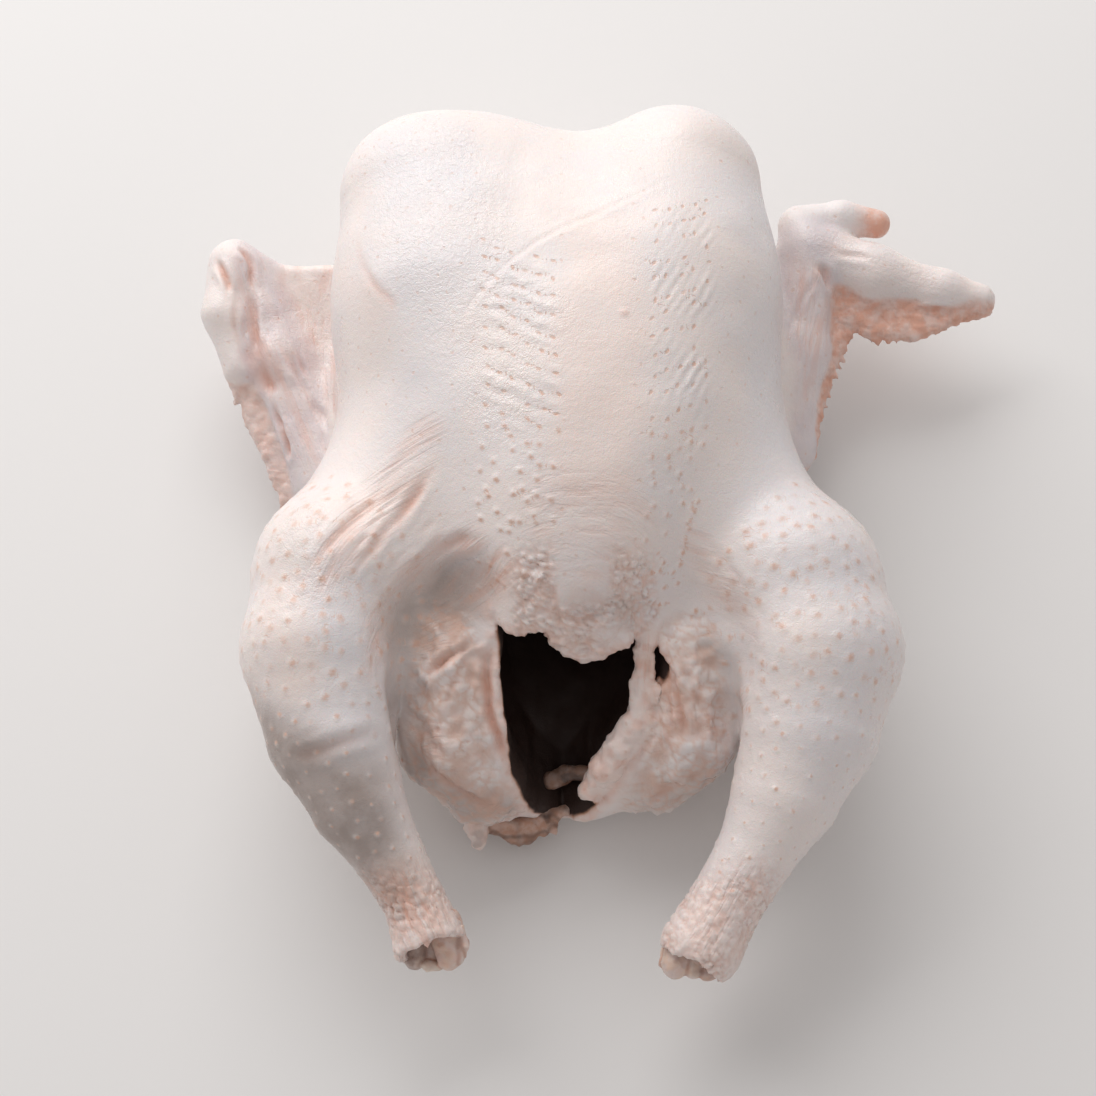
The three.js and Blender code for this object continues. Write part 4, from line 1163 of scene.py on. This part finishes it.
class Painter(Nodes):
    """Builds one material's nodes: a stack of tones laid over each other by masks."""

    def __init__(self, name):
        self.material = bpy.data.materials.new(name)
        self.material.use_nodes = True
        super().__init__(self.material.node_tree)
        self.shader = self.nodes["Principled BSDF"]
        self.color = None

    def group(self, tree, **values):
        node = self.nodes.new("ShaderNodeGroup")
        node.node_tree = tree
        for label, value in values.items():
            self.put(node.inputs[label.replace("_", " ")], value)
        return node.outputs

    def base(self, tree, tone, other, patches, amount):
        values = {"Tone": (*tone, 1), "Other_Tone": (*other, 1), "Patches_Per_Metre": patches, "Amount": amount}
        self.color = self.group(tree, **values)["Color"]

    def lay(self, mask, tone, strength=1.0, uneven=0.0, patches=90.0):
        """Lays a tone over the stack where the mask is, broken up by noise where uneven is above 0."""
        given = self.attribute(mask) if isinstance(mask, str) else mask
        factor = self.math("MULTIPLY", given, strength, clamp=True)
        if uneven:
            factor = self.math("MULTIPLY", factor, self.ramp(self.noise(self.place(), patches), 0.35, 0.62, 1 - uneven))
        self.color = self.mix(factor, self.color, (*tone, 1))

    def finish(self, height_mm, roughness, subsurface):
        shader = self.shader
        bump = self.nodes.new("ShaderNodeBump")
        bump.inputs["Strength"].default_value = 1.0
        bump.inputs["Distance"].default_value = MM
        self.links.new(height_mm, bump.inputs["Height"])
        self.links.new(self.color, shader.inputs["Base Color"])
        self.links.new(roughness, shader.inputs["Roughness"])
        self.links.new(bump.outputs["Normal"], shader.inputs["Normal"])
        shader.inputs["Subsurface Weight"].default_value = subsurface
        shader.inputs["Subsurface Radius"].default_value = (1.0, 0.42, 0.28)
        shader.inputs["Subsurface Scale"].default_value = 0.0015
        shader.inputs["Specular IOR Level"].default_value = 0.5
        return self.material


def skin_material(colours, shared):
    """Wet raw skin with pink flesh under it."""
    paint = Painter("raw skin")
    follicle = paint.group(
        shared["Follicles"], Offset=paint.attribute("spot", "Vector"), Gap=paint.attribute("spot_gap"),
        Raised=paint.attribute("raised"), Strength=paint.attribute("spot_strength"))
    wrinkle = paint.group(
        shared["Skin Wrinkles"], Coordinates=paint.attribute("wrinkle_at", "Vector"), Depth=paint.attribute("wrinkle"))
    grain = paint.group(shared["Wet Grain"])
    gloss = paint.attribute("gloss")

    paint.base(shared["Flesh Mottle"], colours.skin, colours.skin_cool, 26.0, 0.45)
    paint.lay("cool", colours.skin_cool, 0.8, 0.3, 40.0)
    paint.lay("warm", colours.warm_skin, 0.8, 0.3, 40.0)
    paint.lay("lilac", colours.thin_skin, 0.75, 0.45, 60.0)
    # Painted shade, partly dark flesh under thin skin: darkens the hollows, the creases and the lower left leg.
    paint.lay("shade_and_dark_flesh", colours.shade_and_dark_flesh, 0.95, 0.2, 60.0)
    paint.lay("pink", colours.flush, 0.6, 0.3)
    paint.lay("hock", colours.flush, 0.35, 0.6)
    paint.lay("lip", colours.flush, 0.5, 0.5)
    paint.lay("salmon", colours.fold, 0.85, 0.45, 140.0)
    # Painted highlight: the tops of the breast's ridges and of the raised follicles are laid paler.
    paint.lay("painted_ridge_highlight", colours.ridge, 0.6)
    paint.lay(follicle["Crest"], colours.ridge, 0.35)
    paint.lay(paint.math("MULTIPLY", wrinkle["Valley"], paint.attribute("pink")), colours.fold, 1.4)
    paint.lay(paint.math("MULTIPLY", wrinkle["Streak"], paint.attribute("pink")), colours.fold, 1.6)
    paint.lay(follicle["Pit"], colours.pit, 0.85)
    paint.lay("orange", colours.fold, 0.9, 0.25)
    paint.lay("crease", colours.pit, 0.6, 0.4, 120.0)
    inner = paint.attribute("inner")
    paint.lay(inner, colours.tissue, 2.0, 0.3, 200.0)
    # Deeper in the cavity the lining is laid nearly black: its own dark red-brown, darkened further as painted shade of
    # the deep cavity.
    paint.lay(paint.ramp(inner, 0.3, 0.9), colours.lining_and_cavity_shade)

    height = paint.math("MULTIPLY", grain["Height"], paint.math("MULTIPLY_ADD", gloss, 0.3, 0.3))
    height = paint.math("MULTIPLY_ADD", wrinkle["Height"], 0.7, height)
    height = paint.math("ADD", height, follicle["Height"])
    roughness = paint.math("MULTIPLY", grain["Roughness"], paint.math("MULTIPLY_ADD", gloss, -0.42, 1.0))
    roughness = paint.math("MULTIPLY_ADD", inner, 0.35, roughness)
    return paint.finish(height, roughness, 0.1)


def bone_material(colours, shared):
    """Bone ends, gristle and tendon at the hocks."""
    paint = Painter("bone and gristle")
    paint.base(shared["Flesh Mottle"], colours.bone, colours.skin_cool, 160.0, 0.7)
    paint.lay("orange", colours.fold, 0.85, 0.35, 260.0)
    paint.lay("dark", colours.gristle, 0.85, 0.3, 220.0)
    grain = paint.group(shared["Wet Grain"], Creases_Per_Metre=800.0)
    return paint.finish(paint.math("MULTIPLY", grain["Height"], 0.25), grain["Roughness"], 0.08)


def tissue_material(colours, shared):
    """Torn fat and membrane at the tail end and inside the cavity."""
    paint = Painter("torn tissue")
    paint.base(shared["Flesh Mottle"], colours.skin, colours.flush, 120.0, 0.6)
    paint.lay("orange", colours.tissue, 0.9, 0.35, 200.0)
    # The dark share lays the nearly black lining tone. On the strands inside the cavity it is painted shade of the
    # cavity.
    paint.lay("dark", colours.lining_and_cavity_shade, 0.9, 0.1, 150.0)
    grain = paint.group(shared["Wet Grain"], Creases_Per_Metre=700.0)
    return paint.finish(paint.math("MULTIPLY", grain["Height"], 0.35), grain["Roughness"], 0.1)


# ---- The add-on ----


class TurkeySizes(bpy.types.PropertyGroup):
    """Sizes of the skin's relief."""

    skin_step: FloatProperty(
        name="Skin step", description="Side of the skin mesh's faces", default=0.0013, min=0.0008, unit="LENGTH")
    follicle_height: FloatProperty(
        name="Follicle ridge height", description="Height of the ridges in the feather tracts of the breast",
        default=0.0009, unit="LENGTH")
    bump_spacing: FloatProperty(
        name="Leg bump spacing", description="Least distance between the follicles of the legs", default=0.0074,
        unit="LENGTH")
    fold_depth: FloatProperty(
        name="Fold depth", description="Depth of the skin folds, as a share of their usual depth", default=1.0)


def tone(label, description, default):
    """A colour that the user can change."""
    return FloatVectorProperty(
        name=label, description=description, default=default, subtype="COLOR", size=3, min=0, max=1)


class TurkeyColours(bpy.types.PropertyGroup):
    """Colours of the skin, the flesh and the stage."""

    skin: tone("Skin", "Pale skin over fat", (0.84, 0.755, 0.72))
    skin_cool: tone("Cool skin", "Skin where dark flesh shows through", (0.75, 0.725, 0.745))
    warm_skin: tone("Warm skin", "Peach skin along the keel", (0.85, 0.70, 0.635))
    thin_skin: tone("Thin skin", "Thin skin over the muscle of wings and legs", (0.66, 0.60, 0.63))
    # Painted shade in hollows and creases and low on the left leg, partly dark flesh under thin skin.
    shade_and_dark_flesh: tone("Dusk", "Dark flesh under thin skin in hollows and low on the left leg", (0.27, 0.205, 0.175))
    flush: tone("Flush", "Pinker skin", (0.84, 0.63, 0.55))
    fold: tone("Fold", "Orange pink at the bottom of folds and at quill stumps", (0.74, 0.36, 0.24))
    # Painted highlight laid on the tops of the breast's ridges and of raised follicles.
    ridge: tone("Ridge", "Pale raised follicles", (0.92, 0.86, 0.83))
    pit: tone("Pit", "Feather pits", (0.68, 0.41, 0.30))
    # Nearly black: the cavity's dark red-brown lining with the cavity's shade painted in.
    lining_and_cavity_shade: tone("Lining", "Lining of the body cavity", (0.026, 0.011, 0.007))
    bone: tone("Bone", "Bone and gristle at the hocks", (0.80, 0.70, 0.60))
    gristle: tone("Gristle", "Dark gristle between the bone ends", (0.30, 0.20, 0.17))
    tissue: tone("Tissue", "Torn orange brown tissue", (0.56, 0.29, 0.185))
    floor: tone("Floor", "The plain floor", (0.80, 0.79, 0.78))


def groups():
    """The node groups that the materials share, by name."""
    makers = {
        "Flesh Mottle": mottle_group, "Wet Grain": grain_group, "Follicles": follicle_group,
        "Skin Wrinkles": wrinkle_group,
    }
    return {name: bpy.data.node_groups.get(name) or make() for name, make in makers.items()}


class TURKEY_OT_skin(bpy.types.Operator):
    """Build the turkey's skin, with the cavity inside it"""

    bl_idname = "turkey.skin"
    bl_label = "Build skin"

    def execute(self, context):
        scene = context.scene
        material = skin_material(scene.turkey_colours, groups())
        piece = turkey_skin(scene.turkey_sizes, material)
        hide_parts("turkey")
        return {"FINISHED"}


class TURKEY_OT_hocks(bpy.types.Operator):
    """Build the bone ends, gristle and tendons in the open hocks"""

    bl_idname = "turkey.hocks"
    bl_label = "Build hock ends"

    def execute(self, context):
        material = bone_material(context.scene.turkey_colours, groups())
        left = tissue(LEFT_HOCK_ENDS, (-84, -258, 28), (-44, -222, 70), 0.7, 1.0, 0.9, 101)
        right = tissue(RIGHT_HOCK_ENDS, (32, -260, 34), (78, -224, 68), 0.7, 0.9, 0.8, 105, HOCK_CUP)
        piece = clump_piece("hock_bones", [left, right], material)
        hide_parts("turkey")
        return {"FINISHED"}


class TURKEY_OT_tail(bpy.types.Operator):
    """Build the torn tissue under the cavity's mouth and the strands inside it"""

    bl_idname = "turkey.tail"
    bl_label = "Build tail tissue"

    def execute(self, context):
        material = tissue_material(context.scene.turkey_colours, groups())
        outer = tissue(TAIL_TISSUE, (-62, -190, 4), (36, -148, 42), 0.9, 3, 1.5, 111)
        piece = clump_piece("tail_tissue", [outer], material)
        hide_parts("turkey")
        inner = tissue(CAVITY_STRANDS, (-30, -168, 8), (46, -86, 100), 0.9, 2.5, 0.9, 115)
        piece = clump_piece("cavity_strands", [inner], material)
        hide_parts("turkey")
        return {"FINISHED"}


# Lights: name, place, size in metres, power in watts and colour.
LIGHTS = [
    ("window", (-0.8, 1.75, 1.4), (2.8, 2.0), 56, (1.0, 0.99, 0.985)),
]
SKY_STRENGTH = 0.5

CAMERA = {"target": (-13, -45, 55), "distance": 1400, "elevation": 67}


class TURKEY_OT_stage(bpy.types.Operator):
    """Build the plain floor, the soft lights and the camera"""

    bl_idname = "turkey.stage"
    bl_label = "Build stage"

    def execute(self, context):
        scene = context.scene
        mesh = bpy.data.meshes.new("floor")
        half = 3.0
        mesh.from_pydata([(-half, -half, 0), (half, -half, 0), (half, half, 0), (-half, half, 0)], [], [(0, 1, 2, 3)])
        floor = bpy.data.objects.new("floor", mesh)
        scene.collection.objects.link(floor)
        material = bpy.data.materials.new("plain floor")
        material.use_nodes = True
        shader = material.node_tree.nodes["Principled BSDF"]
        shader.inputs["Base Color"].default_value = (*scene.turkey_colours.floor, 1)
        shader.inputs["Roughness"].default_value = 0.7
        mesh.materials.append(material)

        for label, place, size, power, color in LIGHTS:
            data = bpy.data.lights.new(label, "AREA")
            data.shape = "RECTANGLE"
            data.size, data.size_y = size
            data.energy = power
            data.color = color
            light = bpy.data.objects.new(label, data)
            light.location = place
            light.rotation_mode = "QUATERNION"
            light.rotation_quaternion = (Vector((0, 0, 0.05)) - light.location).to_track_quat("-Z", "Y")
            scene.collection.objects.link(light)

        scene.view_settings.view_transform = "Standard"
        world = bpy.data.worlds.new("studio")
        world.use_nodes = True
        background = world.node_tree.nodes["Background"]
        background.inputs["Color"].default_value = (1.0, 0.965, 0.955, 1)
        background.inputs["Strength"].default_value = SKY_STRENGTH
        scene.world = world

        target = Vector(CAMERA["target"]) * MM
        tilt = math.radians(CAMERA["elevation"])
        back = Vector((0, -math.cos(tilt), math.sin(tilt)))
        data = bpy.data.cameras.new("camera")
        data.sensor_width = 36
        data.lens = data.sensor_width * CAMERA["distance"] * MM / 0.52608
        camera = bpy.data.objects.new("camera", data)
        camera.location = target + back * CAMERA["distance"] * MM
        camera.rotation_mode = "QUATERNION"
        camera.rotation_quaternion = (-back).to_track_quat("-Z", "Y")
        scene.collection.objects.link(camera)
        scene.camera = camera
        return {"FINISHED"}


class TURKEY_PT_panel(bpy.types.Panel):
    """The turkey's tools and settings"""

    bl_idname = "TURKEY_PT_panel"
    bl_label = "Raw turkey"
    bl_space_type = "VIEW_3D"
    bl_region_type = "UI"
    bl_category = "Turkey"

    def draw(self, context):
        layout = self.layout
        for settings in (context.scene.turkey_sizes, context.scene.turkey_colours):
            for label in settings.__annotations__:
                layout.prop(settings, label)
        for operator in OPERATORS:
            layout.operator(operator.bl_idname)


OPERATORS = (TURKEY_OT_stage, TURKEY_OT_skin, TURKEY_OT_hocks, TURKEY_OT_tail)
CLASSES = (TurkeySizes, TurkeyColours, *OPERATORS, TURKEY_PT_panel)


def register():
    for cls in CLASSES:
        bpy.utils.register_class(cls)
    bpy.types.Scene.turkey_sizes = PointerProperty(type=TurkeySizes)
    bpy.types.Scene.turkey_colours = PointerProperty(type=TurkeyColours)


def unregister():
    del bpy.types.Scene.turkey_colours
    del bpy.types.Scene.turkey_sizes
    for cls in reversed(CLASSES):
        bpy.utils.unregister_class(cls)


def main():
    register()
    bpy.ops.turkey.stage()
    bpy.ops.turkey.skin()
    bpy.ops.turkey.hocks()
    bpy.ops.turkey.tail()


if __name__ == "__main__":
    main()
